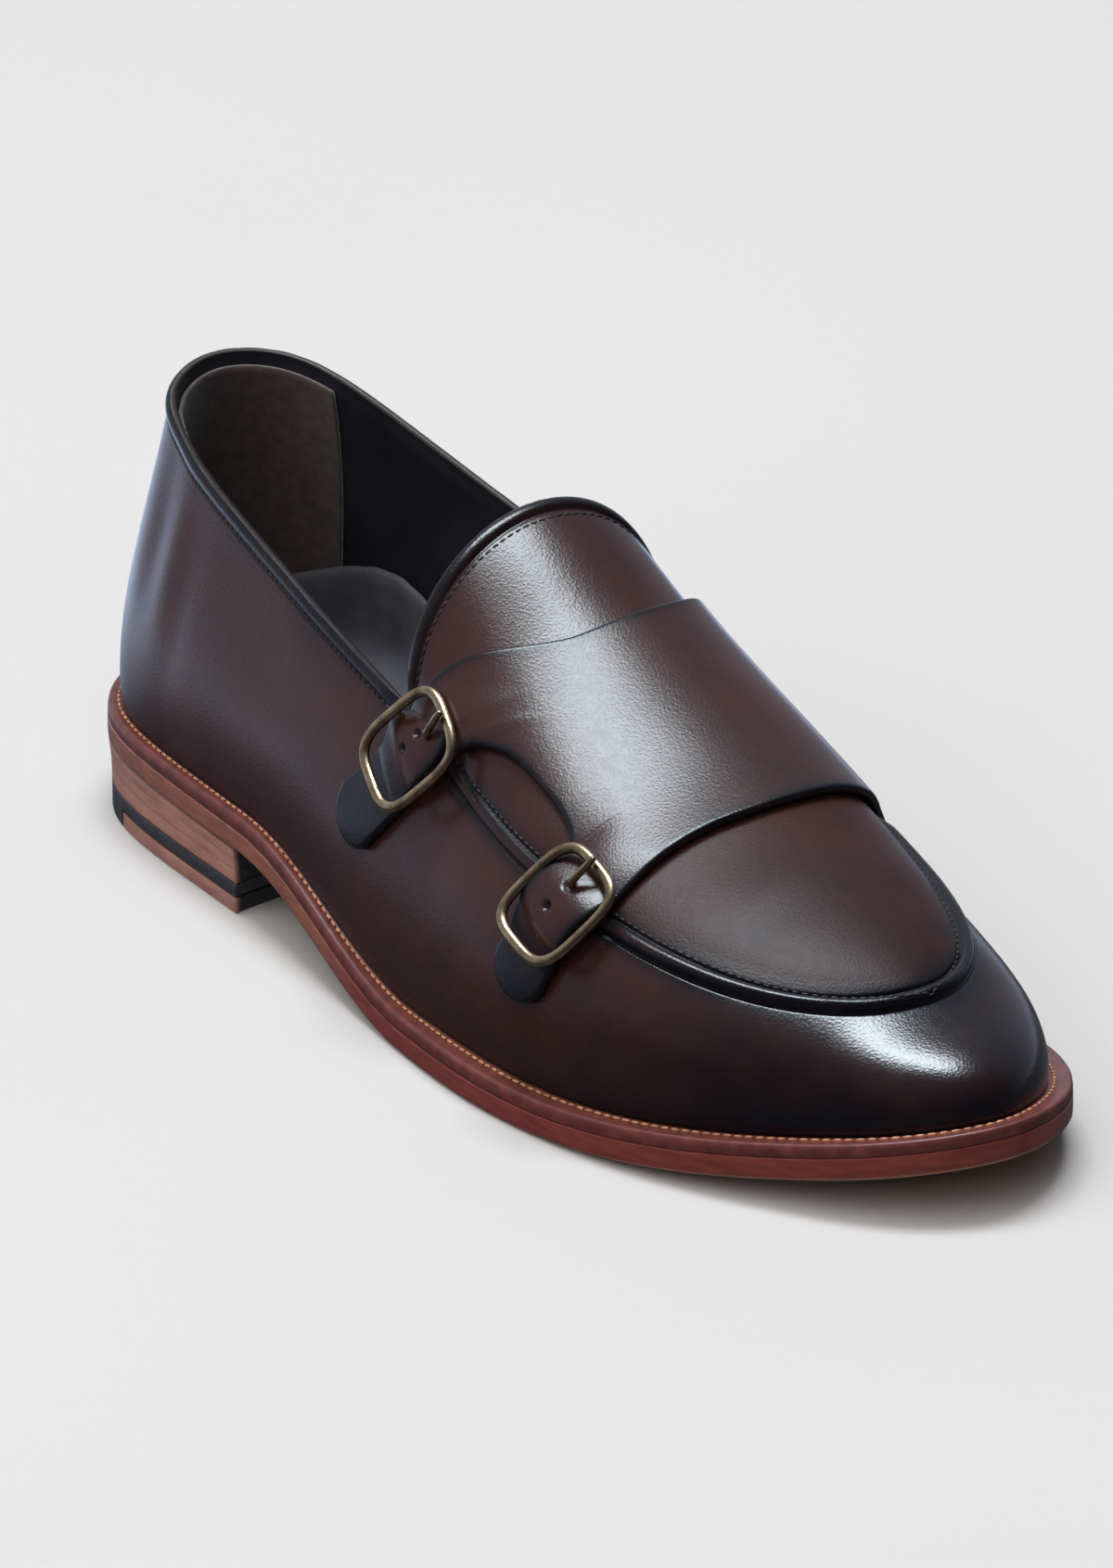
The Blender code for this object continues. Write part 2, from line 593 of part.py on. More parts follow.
# ---------------------------------------------------------------- strap and buckles
def branch_line(name):
    """Places down the middle of one end of the strap and their distances from the buckle."""
    top_row, top_across, tip_row, tip_across, _, buckle_across, _, _, _ = BRANCHES[name]
    part = np.linspace(0.0, 1.0, BRANCH_STEPS)
    rows = top_row + (tip_row - top_row) * part
    across = top_across + (tip_across - top_across) * part
    middle = upper_points(rows, across)
    length = np.concatenate([[0], np.cumsum(np.linalg.norm(np.diff(middle, axis=0), axis=1))])
    at_buckle = np.interp((top_across - buckle_across) / (top_across - tip_across), part, length)
    return rows, across, length - at_buckle


def strap_height(distance):
    """Underside of the strap above the upper, along one end through its buckle."""
    reach = BUCKLE_LENGTH / 2 - BUCKLE_BAR / 2
    hump = STRAP_DIP + (STRAP_HUMP - STRAP_DIP) * smooth_step((reach - np.abs(distance)) / (reach - 0.003))
    return np.where(distance < -reach, STRAP_DIP + (STRAP_LIFT - STRAP_DIP)
                    * smooth_step((-reach - distance) / 0.004), hump)


def make_strap(material):
    stations = np.array(STRAP_STATIONS)
    fine = np.linspace(0, len(stations) - 1, 2 * len(stations) - 1)
    knots = np.arange(len(stations))
    rear_row, rear_across, front_row, front_across, bow = [
        open_spline(knots, column, fine) for column in stations.T]
    across_strap = np.linspace(0.0, 1.0, STRAP_COLUMNS + 1)
    rows, across, heights = [], [], []
    for column in across_strap:
        rows.append(rear_row + (front_row - rear_row) * column)
        across.append(rear_across + (front_across - rear_across) * column + bow * 4 * column * (1 - column))
        heights.append(np.full(len(fine), STRAP_LIFT))
    rows, across, heights = np.array(rows).T, np.array(across).T, np.array(heights).T
    width = STRAP_COLUMNS + 1
    faces = []
    for station in range(len(fine) - 1):
        for column in range(STRAP_COLUMNS):
            here = station * width + column
            faces.append((here, here + width, here + width + 1, here + 1))
    rows, across, heights = rows.ravel(), across.ravel(), heights.ravel()
    panel_end = (len(fine) - 1) * width
    for name, start, stop in (("rear", 0, SPLIT_REAR), ("front", SPLIT_FRONT, STRAP_COLUMNS)):
        middle_rows, middle_across, distance = branch_line(name)
        tip = distance[-1] - distance
        half = BRANCH_WIDTH / 2 * np.sqrt(1 - np.clip(1 - tip / 0.0055, 0, 0.965)**2)
        before = [panel_end + column for column in range(start, stop + 1)]
        columns = len(before)
        base = len(rows)
        sides = []
        for part in np.linspace(-1.0, 1.0, columns):
            sides.append(sideways_places(middle_rows, middle_across, half * part))
        side_rows = np.array([side[0] for side in sides]).T
        side_across = np.array([side[1] for side in sides]).T
        height = np.repeat(strap_height(distance)[:, None], columns, axis=1)
        rows = np.concatenate([rows, side_rows.ravel()])
        across = np.concatenate([across, side_across.ravel()])
        heights = np.concatenate([heights, height.ravel()])
        lines = [before] + [[base + step * columns + column for column in range(columns)]
                            for step in range(BRANCH_STEPS)]
        for above, below in zip(lines, lines[1:]):
            for column in range(columns - 1):
                faces.append((above[column], below[column], below[column + 1], above[column + 1]))
    points = upper_points(rows, across)
    normal, _, _ = normals_at(rows, across)
    under = points + normal * heights[:, None]
    over = under + normal * STRAP_THICK
    solid, faces = close_sheet(over, under, faces)
    return add_solid("strap", solid, faces, material, 40)


def buckle_frame(name):
    """Middle of a buckle on the upper, with its directions: down the strap, sideways, out."""
    row, across, turn, tilt, _ = BRANCHES[name][4:]
    rows, line_across, distance = branch_line(name)
    middle = upper_points(np.array([row]), np.array([across]))[0]
    line = upper_points(rows, line_across)
    ends = [np.array([np.interp(place, distance, line[:, axis]) for axis in range(3)])
            for place in (-BUCKLE_LENGTH / 2, BUCKLE_LENGTH / 2)]
    down = ends[1] - ends[0]
    down /= np.linalg.norm(down)
    around = np.array([(-0.35, 0.15), (0.35, 0.15), (-0.35, -0.15), (0.35, -0.15)])
    normal = normals_at(row + around[:, 0], across + around[:, 1])[0].mean(axis=0)
    out = normal - down * np.dot(normal, down)
    out /= np.linalg.norm(out)
    side = np.cross(out, down)
    turn, tilt = np.radians(turn), np.radians(tilt)
    down = down * np.cos(turn) - side * np.sin(turn)
    side = np.cross(out, down)
    down = down * np.cos(tilt) + out * np.sin(tilt)
    return middle, down, side, np.cross(down, side)


def tube(path, radius, sides, closed):
    """Points and faces of a round bar along a path of points."""
    path = np.asarray(path)
    count = len(path)
    if closed:
        tangent = np.roll(path, -1, axis=0) - np.roll(path, 1, axis=0)
    else:
        tangent = np.gradient(path, axis=0)
    tangent /= np.linalg.norm(tangent, axis=1)[:, None]
    up = np.array([0.0, 0.0, 1.0])
    across = np.cross(tangent, up)
    across /= np.linalg.norm(across, axis=1)[:, None]
    rise = np.cross(across, tangent)
    points = []
    for index in range(count):
        for side in range(sides):
            angle = 2 * np.pi * side / sides
            points.append(path[index] + radius * (np.cos(angle) * across[index] + np.sin(angle) * rise[index]))
    faces = []
    for index in range(count if closed else count - 1):
        after = (index + 1) % count
        for side in range(sides):
            turn = (side + 1) % sides
            faces.append((index * sides + side, index * sides + turn,
                          after * sides + turn, after * sides + side))
    if not closed:
        faces.append(tuple(range(sides))[::-1])
        faces.append(tuple(range((count - 1) * sides, count * sides)))
    return np.array(points), faces


def place_local(points, frame):
    middle, down, side, out = frame
    return middle + points[:, :1] * down + points[:, 1:2] * side + points[:, 2:3] * out


def make_buckle(name, brass):
    frame = buckle_frame(name)
    tilt, lift = BRANCHES[name][7:]
    long_half = BUCKLE_LENGTH / 2 - BUCKLE_BAR / 2
    wide_half = BUCKLE_WIDTH / 2 - BUCKLE_BAR / 2
    path = []
    for corner_x, corner_y, first in ((1, 1, 0), (-1, 1, 1), (-1, -1, 2), (1, -1, 3)):
        for step in range(6):
            angle = np.pi / 2 * (first + step / 5)
            path.append((corner_x * (long_half - BUCKLE_CORNER) + BUCKLE_CORNER * np.cos(angle),
                         corner_y * (wide_half - BUCKLE_CORNER) + BUCKLE_CORNER * np.sin(angle),
                         lift))
    points, faces = tube(path, BUCKLE_BAR / 2, 10, True)
    ring = add_solid("buckle_" + name, place_local(points, frame), faces, brass, 60)

    drop = lift - CENTRE_BAR_LIFT
    side = np.linspace(-1.0, 1.0, 15)
    height = lift - drop * smooth_step((1.0 - np.abs(side)) / 0.22)
    path = np.column_stack([np.zeros(15), side * wide_half, height])
    points, faces = tube(path, CENTRE_BAR / 2, 8, False)
    bar = add_solid("centre_bar", place_local(points, frame), faces, brass, 60)
    join = ring.modifiers.new("centre_bar", "BOOLEAN")
    join.operation = "UNION"
    join.solver = "EXACT"
    join.object = bar
    shape = bpy.data.meshes.new_from_object(ring.evaluated_get(bpy.context.evaluated_depsgraph_get()))
    ring.modifiers.remove(join)
    ring.data = shape
    bpy.data.objects.remove(bar)

    start, end = -PRONG_START, -(long_half + 0.0012)
    over_strap = STRAP_HUMP + STRAP_THICK + PRONG / 2 + GAP + PRONG_START * np.tan(np.radians(tilt))
    over_bar = lift + BUCKLE_BAR / 2 + PRONG / 2 + GAP
    run = np.linspace(0.0, 1.0, 9)
    path = np.column_stack([start + (end - start) * run, np.zeros(9),
                            over_strap + (over_bar - over_strap) * smooth_step(run * 1.25)])
    points, faces = tube(path, PRONG / 2, 8, False)
    add_solid("prong_" + name, place_local(points, frame), faces, brass, 60)


def stand_on_origin():
    """Move every piece so that the middle of the shoe's footprint is the origin."""
    pieces = list(bpy.context.scene.objects)
    points = np.array([corner.co for item in pieces for corner in item.data.vertices])
    low, high = points.min(axis=0), points.max(axis=0)
    middle = np.array([(low[0] + high[0]) / 2, (low[1] + high[1]) / 2, low[2]])
    for item in pieces:
        for corner in item.data.vertices:
            corner.co = np.array(corner.co) - middle


for old in list(bpy.data.objects):
    bpy.data.objects.remove(old)
leather = make_material("upper_leather", LEATHER, 0.32, 0.0)
strap_leather = make_material("strap_leather", STRAP_LEATHER, 0.30, 0.0)
welt_leather = make_material("welt_leather", WELT_TAN, 0.50, 0.0)
sole_leather = make_material("sole_leather", SOLE_RED, 0.42, 0.0)
heel_leather = make_material("heel_leather", HEEL_TAN, 0.50, 0.0)
rubber = make_material("heel_rubber", RUBBER_BLACK, 0.60, 0.0)
sock = make_material("insole_sock", INSOLE_BLACK, 0.70, 0.0)
brass = make_material("antique_brass", BRASS, 0.30, 1.0)

make_outsole(sole_leather)
make_welt(welt_leather)
make_insole(sock)
make_heel(heel_leather, rubber)
make_upper(leather)
make_strap(strap_leather)
make_buckle("rear", brass)
make_buckle("front", brass)
stand_on_origin()
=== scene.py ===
import bpy
import numpy as np
from mathutils import Matrix, Vector
from mathutils.kdtree import KDTree


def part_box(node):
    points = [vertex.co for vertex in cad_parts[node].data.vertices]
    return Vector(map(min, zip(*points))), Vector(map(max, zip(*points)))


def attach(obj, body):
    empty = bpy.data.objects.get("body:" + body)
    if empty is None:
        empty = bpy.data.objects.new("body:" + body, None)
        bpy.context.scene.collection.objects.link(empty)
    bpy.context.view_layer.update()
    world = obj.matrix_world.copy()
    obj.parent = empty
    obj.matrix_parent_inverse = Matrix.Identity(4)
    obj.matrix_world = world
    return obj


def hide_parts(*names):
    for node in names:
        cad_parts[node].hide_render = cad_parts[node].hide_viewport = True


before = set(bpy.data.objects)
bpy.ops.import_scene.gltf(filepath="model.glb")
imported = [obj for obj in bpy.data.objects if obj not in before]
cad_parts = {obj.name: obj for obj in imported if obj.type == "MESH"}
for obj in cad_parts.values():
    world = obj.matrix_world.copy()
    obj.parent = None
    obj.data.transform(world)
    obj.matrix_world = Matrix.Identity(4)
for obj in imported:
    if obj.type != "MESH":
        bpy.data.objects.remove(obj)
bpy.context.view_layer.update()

# ---------------------------------------------------------------- upper
# The vamp, quarters and apron of a closed-front loafer, cut from burnished calf and lasted
# over a wooden last.  The leather runs unbroken from the apron into the tongue.  A cord is
# sewn under the seam round the apron and a thin roll finishes the collar and the tongue.

# The last, in millimetres: rows from the back of the heel to the toe on each side.
# sole_x sole_y: edge of the outsole.  edge_x edge_y edge_z: collar, then apron seam.
# low_out low_up, high_out high_down: swell of the wall over the welt and under its edge.
LATERAL_ROWS = [
    # sole_x  sole_y  edge_x  edge_y edge_z low_out low_up high_out high_down
    (-150.0,   0.0, -137.7,   2.0, 95.4,  1.5, 24.0,  5.0, 26.0),
    (-146.8, -12.5, -135.9,  -6.4, 94.3,  1.5, 24.0,  5.0, 26.0),
    (-138.5, -24.5, -130.2, -13.9, 91.7,  1.5, 24.0,  5.0, 26.0),
    (-125.0, -33.8, -119.5, -18.6, 88.0,  1.5, 22.0,  5.5, 24.0),
    (-105.0, -38.5, -101.0, -22.8, 83.0,  1.5, 20.0,  5.5, 22.0),
    ( -78.0, -40.8,  -72.0, -26.0, 76.0,  1.0, 18.0,  5.5, 20.0),
    ( -50.0, -43.0,  -42.0, -28.5, 68.6,  1.0, 16.0,  6.5, 17.5),
    ( -22.0, -47.0,  -12.5, -30.8, 62.3,  1.5, 15.0,  7.5, 14.5),
    (   5.0, -51.0,   10.0, -34.0, 56.0,  1.5, 14.0,  8.0, 13.0),
    (  32.0, -54.0,   34.0, -37.3, 50.3,  1.5, 13.0,  8.0, 11.5),
    (  56.0, -54.0,   56.0, -37.5, 46.0,  1.0, 12.5,  9.0, 10.0),
    (  80.0, -50.0,   79.0, -34.8, 42.3,  0.8, 12.0, 10.0,  8.5),
    ( 102.0, -42.0,   98.5, -27.5, 39.2,  0.5, 11.5, 11.5,  7.5),
    ( 121.0, -31.5,  111.0, -17.5, 37.4,  0.5, 11.0, 12.0,  6.5),
    ( 136.5, -20.5,  117.3,  -7.5, 36.7,  0.5, 11.0, 12.0,  6.0),
    ( 146.5,  -8.0,  119.3,   0.5, 36.6,  0.5, 11.0, 12.0,  6.0),
]
TOE_ROW = (150.0, 4.5, 119.5, 6.0, 36.7, 0.5, 11.0, 12.0, 6.0)
MEDIAL_ROWS = [
    (-146.5,  12.0, -135.6,  10.6, 95.1,  1.5, 24.0,  5.0, 26.0),
    (-138.0,  22.5, -129.7,  18.1, 93.6,  1.5, 24.0,  5.0, 26.0),
    (-125.0,  30.0, -119.0,  22.9, 90.8,  1.5, 22.0,  5.5, 24.0),
    (-105.0,  33.0, -101.0,  25.8, 86.5,  1.5, 20.0,  6.0, 22.0),
    ( -78.0,  31.0,  -73.0,  28.9, 80.0,  2.5, 18.0,  4.5, 20.0),
    ( -50.0,  27.5,  -43.0,  32.1, 72.8,  5.0, 16.0,  3.0, 18.0),
    ( -22.0,  28.0,  -13.0,  33.4, 65.2,  6.0, 15.0,  2.2, 15.0),
    (   5.0,  33.5,    9.0,  35.3, 57.5,  5.5, 14.0,  2.4, 13.0),
    (  32.0,  42.3,   33.0,  36.6, 51.8,  3.0, 13.0,  4.0, 11.5),
    (  56.0,  48.5,   56.0,  36.5, 47.2,  1.5, 12.5,  6.3, 10.0),
    (  80.0,  49.5,   78.0,  34.0, 43.3,  1.0, 12.0,  8.2,  8.5),
    ( 102.0,  47.0,   96.5,  29.5, 40.4,  0.5, 11.5, 10.2,  7.5),
    ( 121.0,  40.5,  109.0,  23.5, 38.3,  0.5, 11.0, 12.0,  6.5),
    ( 137.0,  29.5,  115.5,  17.0, 37.3,  0.5, 11.0, 12.0,  6.0),
    ( 146.8,  16.5,  118.6,  11.2, 36.9,  0.5, 11.0, 12.0,  6.0),
]
# Crown of the apron over each pair of seam rows, from the tongue's edge to the toe
CROWN_ROWS = [
    # row  rise  angle lat_back med_back crest
    ( 7.0, 34.3, 92.0,  4.5, 10.5, 0.13),
    ( 8.0, 26.5, 86.0,  1.0,  3.0, 0.20),
    ( 9.0, 19.8, 78.0,  0.0,  0.0, 0.26),
    (10.0, 14.6, 66.0,  0.0,  0.0, 0.26),
    (11.0, 11.0, 50.0,  0.0,  0.0, 0.20),
    (12.0,  7.8, 38.0,  0.0,  0.0, 0.12),
    (13.0,  5.0, 30.0,  0.0,  0.0, 0.06),
    (14.0,  2.7, 22.0,  0.0,  0.0, 0.0),
    (15.0,  1.0, 16.0,  0.0,  0.0, 0.0),
    (16.0,  0.0, 12.0,  0.0,  0.0, 0.0),
]
CORNER_ROW, TOE_END, ROUND = 7.0, 16.0, 32.0
MM = 0.001

HEEL_HEIGHT, HEEL_PITCH, TOE_SPRING = 15.0 * MM, 2.0 * MM, 12.0 * MM
BREAST_X, BALL_START_X, BALL_END_X = -64.0 * MM, 15.0 * MM, 55.0 * MM
OUTSOLE, WELT = 5.0 * MM, 3.0 * MM
WELT_SHOW_FRONT, WELT_SHOW_BACK = 5.0 * MM, 3.0 * MM
UPPER_WALL = 2.2 * MM
SEAT = 0.3 * MM                 # the upper's edge just clears the welt
SHORT = 0.02                    # a short way across the wall or the apron, to measure it by


def between(values, slope, start, end, t, span=1.0):
    """Smooth curve from one value to the next, with the slopes at both."""
    return (values[start] * (2 * t**3 - 3 * t**2 + 1) + slope[start] * span * (t**3 - 2 * t**2 + t)
            + values[end] * (3 * t**2 - 2 * t**3) + slope[end] * span * (t**3 - t**2))


def closed_curve(values, places):
    """Smooth closed curve through rows of values, read at the given row numbers."""
    values = np.asarray(values, dtype=float)
    count = len(values)
    system = 4.0 * np.eye(count) + np.roll(np.eye(count), 1, axis=0) + np.roll(np.eye(count), -1, axis=0)
    slope = np.linalg.solve(system, 3.0 * (np.roll(values, -1, axis=0) - np.roll(values, 1, axis=0)))
    places = np.mod(np.asarray(places, dtype=float), count)
    start = np.floor(places).astype(int) % count
    return between(values, slope, start, (start + 1) % count, (places - np.floor(places))[:, None])


def open_curve(knots, values, places):
    """Smooth open curve through rows of values at rising knots."""
    knots, values = np.asarray(knots, dtype=float), np.asarray(values, dtype=float)
    slope = np.gradient(values, knots, axis=0)
    places = np.clip(places, knots[0], knots[-1])
    start = np.clip(np.searchsorted(knots, places, side="right") - 1, 0, len(knots) - 2)
    span = (knots[start + 1] - knots[start])[:, None]
    return between(values, slope, start, start + 1, (places - knots[start])[:, None] / span, span)


def unit(vectors):
    return vectors / np.linalg.norm(vectors, axis=1)[:, None]


def smooth_step(t):
    t = np.clip(t, 0.0, 1.0)
    return t * t * (3.0 - 2.0 * t)


def blend(first, last, part):
    """The value that lies part of the way from the first to the last."""
    return first + (last - first) * part


ROWS = np.array(LATERAL_ROWS + [TOE_ROW] + MEDIAL_ROWS[::-1]) * MM


def sole_edge(rows):
    """Outline of the outsole in plan at the given rows, and its outward direction."""
    along = unit(closed_curve(ROWS[:, :2], rows + 0.02) - closed_curve(ROWS[:, :2], rows - 0.02))
    return closed_curve(ROWS[:, :2], rows), np.column_stack([along[:, 1], -along[:, 0]])


# The frame's origin is the middle of the footprint, so the last moves there
outsole_low, outsole_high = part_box("outsole")
outline, _ = sole_edge(np.arange(0.0, ROUND, ROUND / 96))
SHIFT = (np.array(outsole_low + outsole_high)[:2] - outline.min(axis=0) - outline.max(axis=0)) / 2
ROWS[:, 0:2] += SHIFT
ROWS[:, 2:4] += SHIFT
BREAST_X, BALL_START_X, BALL_END_X = BREAST_X + SHIFT[0], BALL_START_X + SHIFT[0], BALL_END_X + SHIFT[0]
HALF_LENGTH = (outsole_high.x - outsole_low.x) / 2


def sole_bottom(x):
    """Height of the outsole's underside: heel seat, waist, flat ball, toe spring."""
    seat = HEEL_HEIGHT + HEEL_PITCH * np.clip((BREAST_X - x) / (HALF_LENGTH + BREAST_X), 0, 1)
    waist = 1.0 - smooth_step((x - BREAST_X) / (BALL_START_X - BREAST_X))
    return seat * waist + TOE_SPRING * np.clip((x - BALL_END_X) / (HALF_LENGTH - BALL_END_X), 0, 1)**2


def welt_show(rows):
    """Width of welt outside the upper, wider round the forefoot."""
    front = np.minimum(np.mod(rows, ROUND), ROUND - np.mod(rows, ROUND))
    return blend(WELT_SHOW_BACK, WELT_SHOW_FRONT, smooth_step((front - 6.5) / 3.0))


def bent_line(first, near, far, last, t):
    """Points on smooth lines, each from its first to its last point and led by two others."""
    t = np.broadcast_to(t, len(first))[:, None]
    return first * (1 - t)**3 + near * 3 * t * (1 - t)**2 + far * 3 * t**2 * (1 - t) + last * t**3


def wall_points(rows, t):
    """Side of the upper: t runs from 0 on the welt to 1 on the collar or the apron seam."""
    last = closed_curve(ROWS, rows)
    edge, outward = sole_edge(rows)
    foot = edge - outward * welt_show(rows)[:, None]
    outward = np.column_stack([outward, np.zeros(len(rows))])
    up = np.array([0.0, 0.0, 1.0])
    base = np.column_stack([foot, sole_bottom(foot[:, 0]) + OUTSOLE + WELT + SEAT])
    low = base + outward * last[:, 5:6] + up * last[:, 6:7]
    high = last[:, 2:5] + outward * last[:, 7:8] - up * last[:, 8:9]
    return bent_line(base, low, high, last[:, 2:5], t)


def apron_points(rows, t):
    """Apron and tongue: t runs from 0 on the lateral seam to 1 on the medial seam."""
    crown = np.array(CROWN_ROWS)
    rise, angle, lat_back, med_back, crest = open_curve(crown[:, 0], crown[:, 1:], rows).T
    lateral = closed_curve(ROWS[:, 2:5], rows)
    medial = closed_curve(ROWS[:, 2:5], ROUND - rows)
    upward = rise * MM / 0.75
    inward = upward / np.tan(np.radians(angle))
    near = lateral + np.column_stack([-lat_back * MM, inward, upward * (1 - crest)])
    far = medial + np.column_stack([-med_back * MM, -inward, upward * (1 + crest)])
    return bent_line(lateral, near, far, medial, t)


def apron_part(rows, start, length, most):
    """Part of the apron's width that a length from the seam at its start takes up, limited."""
    run = apron_points(rows, abs(start - SHORT)) - apron_points(rows, start)
    return np.minimum(SHORT * length / np.maximum(np.linalg.norm(run, axis=1), 1e-9), most)


def upper_points(rows, across):
    """Bare face of the upper.  across: 0-1 lateral wall, 1-2 apron, 2-3 medial wall."""
    rows, across = np.asarray(rows, dtype=float), np.asarray(across, dtype=float)
    lateral = wall_points(rows, np.clip(across, 0, 1))
    apron = apron_points(np.clip(rows, CORNER_ROW, TOE_END), np.clip(across - 1, 0, 1))
    medial = wall_points(ROUND - rows, np.clip(3 - across, 0, 1))
    side = across[:, None]
    return np.where(side < 1, lateral, np.where(side <= 2, apron, medial))


def faces_of(numbers):
    """Faces of a grid of point numbers."""
    corners = [numbers[:-1, :-1], numbers[1:, :-1], numbers[1:, 1:], numbers[:-1, 1:]]
    return np.stack(corners, axis=-1).reshape(-1, 4)


def grid_faces(lines, places, closed=False):
    """Faces between lines of points that are numbered one line after another."""
    numbers = np.arange(lines * places).reshape(lines, places)
    return faces_of((np.column_stack([numbers, numbers[:, :1]]) if closed else numbers).T)


def normals_of(points, faces):
    """Vertex normals of a sheet of faces, weighted by area."""
    corner = [points[faces[:, index]] for index in range(4)]
    area = np.cross(corner[2] - corner[0], corner[3] - corner[1])
    normal = np.zeros_like(points)
    for index in range(4):
        np.add.at(normal, faces[:, index], area)
    return normal / np.maximum(np.linalg.norm(normal, axis=1), 1e-12)[:, None]


def distance_to(samples, points):
    """Distance from each point to the nearest of many samples, and that sample's number."""
    tree = KDTree(len(samples))
    for index, place in enumerate(samples):
        tree.insert(place, index)
    tree.balance()
    _, numbers, distances = zip(*(tree.find(point) for point in points))
    return np.array(distances), np.array(numbers)


def half_round(distance, half_width):
    return np.sqrt(np.clip(1.0 - (distance / half_width)**2, 0.0, 1.0))


def rim_faces(faces, count):
    """Faces that close two matching sheets of points along the edges of the sheet."""
    edges = np.vstack([np.column_stack([faces[:, i], faces[:, (i + 1) % 4]]) for i in range(4)])
    edges = edges[edges[:, 0] != edges[:, 1]]
    known = set(map(tuple, edges.tolist()))
    return [(b, a, a + count, b + count) for a, b in known if (b, a) not in known]


def two_sided(faces, count):
    return faces.tolist() + (faces[:, ::-1] + count).tolist()


def add_piece(name, points, faces, materials, face_materials=None, values=None):
    """A mesh object from points and faces, with named per-vertex numbers for its materials."""
    mesh = bpy.data.meshes.new(name)
    faces = [tuple(dict.fromkeys(int(index) for index in face)) for face in faces]
    mesh.from_pydata([tuple(point) for point in points], [], faces)
    for material in materials:
        mesh.materials.append(material)
    if face_materials is not None:
        mesh.polygons.foreach_set("material_index", np.asarray(face_materials, dtype=np.int32))
    for key, numbers in (values or {}).items():
        layer = mesh.attributes.new(key, "FLOAT", "POINT")
        layer.data.foreach_set("value", np.asarray(numbers, dtype=np.float32))
    mesh.shade_smooth()
    mesh.validate()
    piece = bpy.data.objects.new(name, mesh)
    bpy.context.scene.collection.objects.link(piece)
    return piece


def add_node(tree, kind, inputs=(), **settings):
    """Add a node to a tree, its inputs plain values or other nodes' outputs; give its outputs."""
    node = tree.nodes.new(kind)
    for key, value in settings.items():
        setattr(node, key, value)
    for key, value in dict(inputs).items():
        if isinstance(value, bpy.types.NodeSocket):
            tree.links.new(value, node.inputs[key])
        else:
            node.inputs[key].default_value = value
    return node.outputs


class Shader:
    """A Principled material and short names for wiring its nodes."""

    def __init__(self, name, colour, roughness, **sockets):
        self.material = bpy.data.materials.new(name)
        self.material.use_nodes = True
        self.tree = self.material.node_tree
        self.main = self.tree.nodes["Principled BSDF"].inputs
        sockets.update(Base_Color=(*colour, 1.0), Roughness=roughness)
        for key, value in sockets.items():
            self.main[key.replace("_", " ")].default_value = value
        self.place = add_node(self.tree, "ShaderNodeTexCoord")["Object"]

    def number(self, name):
        return add_node(self.tree, "ShaderNodeAttribute", attribute_name=name)["Fac"]

    def noise(self, scale, detail, stretch=(1, 1, 1)):
        place = add_node(self.tree, "ShaderNodeMapping", {"Scale": stretch, "Vector": self.place})["Vector"]
        return add_node(self.tree, "ShaderNodeTexNoise", {"Scale": scale, "Detail": detail, "Vector": place})["Fac"]

    def cells(self, scale, feature="DISTANCE_TO_EDGE"):
        inputs = {"Scale": scale, "Vector": self.place}
        return add_node(self.tree, "ShaderNodeTexVoronoi", inputs, feature=feature)["Distance"]

    def range(self, value, low, high, to_low=0.0, to_high=1.0):
        inputs = {"Value": value, "From Min": low, "From Max": high, "To Min": to_low, "To Max": to_high}
        return add_node(self.tree, "ShaderNodeMapRange", inputs)["Result"]

    def sum(self, first, second, kind="ADD"):
        return add_node(self.tree, "ShaderNodeMath", {0: first, 1: second}, operation=kind)[0]

    def ramp(self, value, stops):
        colour = add_node(self.tree, "ShaderNodeValToRGB", {"Fac": value})["Color"]
        elements = colour.node.color_ramp.elements
        while len(elements) < len(stops):
            elements.new(0.5)
        for element, (place, shade) in zip(elements, stops):
            element.position, element.color = place, (*shade, 1.0)
        return colour

    def tones(self, scale, detail, dark, light, stretch=(1, 1, 1)):
        """Two tones blended by noise."""
        return self.ramp(self.noise(scale, detail, stretch), [(0.3, dark), (0.7, light)])

    def mix(self, factor, first, second):
        second = (*second, 1.0) if isinstance(second, tuple) else second
        return add_node(self.tree, "ShaderNodeMix", {0: factor, 6: first, 7: second}, data_type="RGBA")[2]

    def colour(self, output, socket="Base Color"):
        self.tree.links.new(output, self.main[socket])

    def bump(self, heights):
        """Bumps one over another: (height, strength, distance in metres)."""
        below = {}
        for height, strength, distance in heights:
            inputs = {"Strength": strength, "Distance": distance, "Height": height, **below}
            below = {"Normal": add_node(self.tree, "ShaderNodeBump", inputs)["Normal"]}
        self.colour(below["Normal"], "Normal")


def flecked(name, roughness, tones, grain, **sockets):
    """A material of two tones, tones=(scale, detail, dark, light), under a fine grain.

    grain is the size of the noise, its detail, and the bump's strength and distance."""
    shader = Shader(name, tones[3], roughness, **sockets)
    shader.colour(shader.tones(*tones))
    size, detail, strength, distance = grain
    shader.bump([(shader.noise(size, detail), strength, distance)])
    return shader


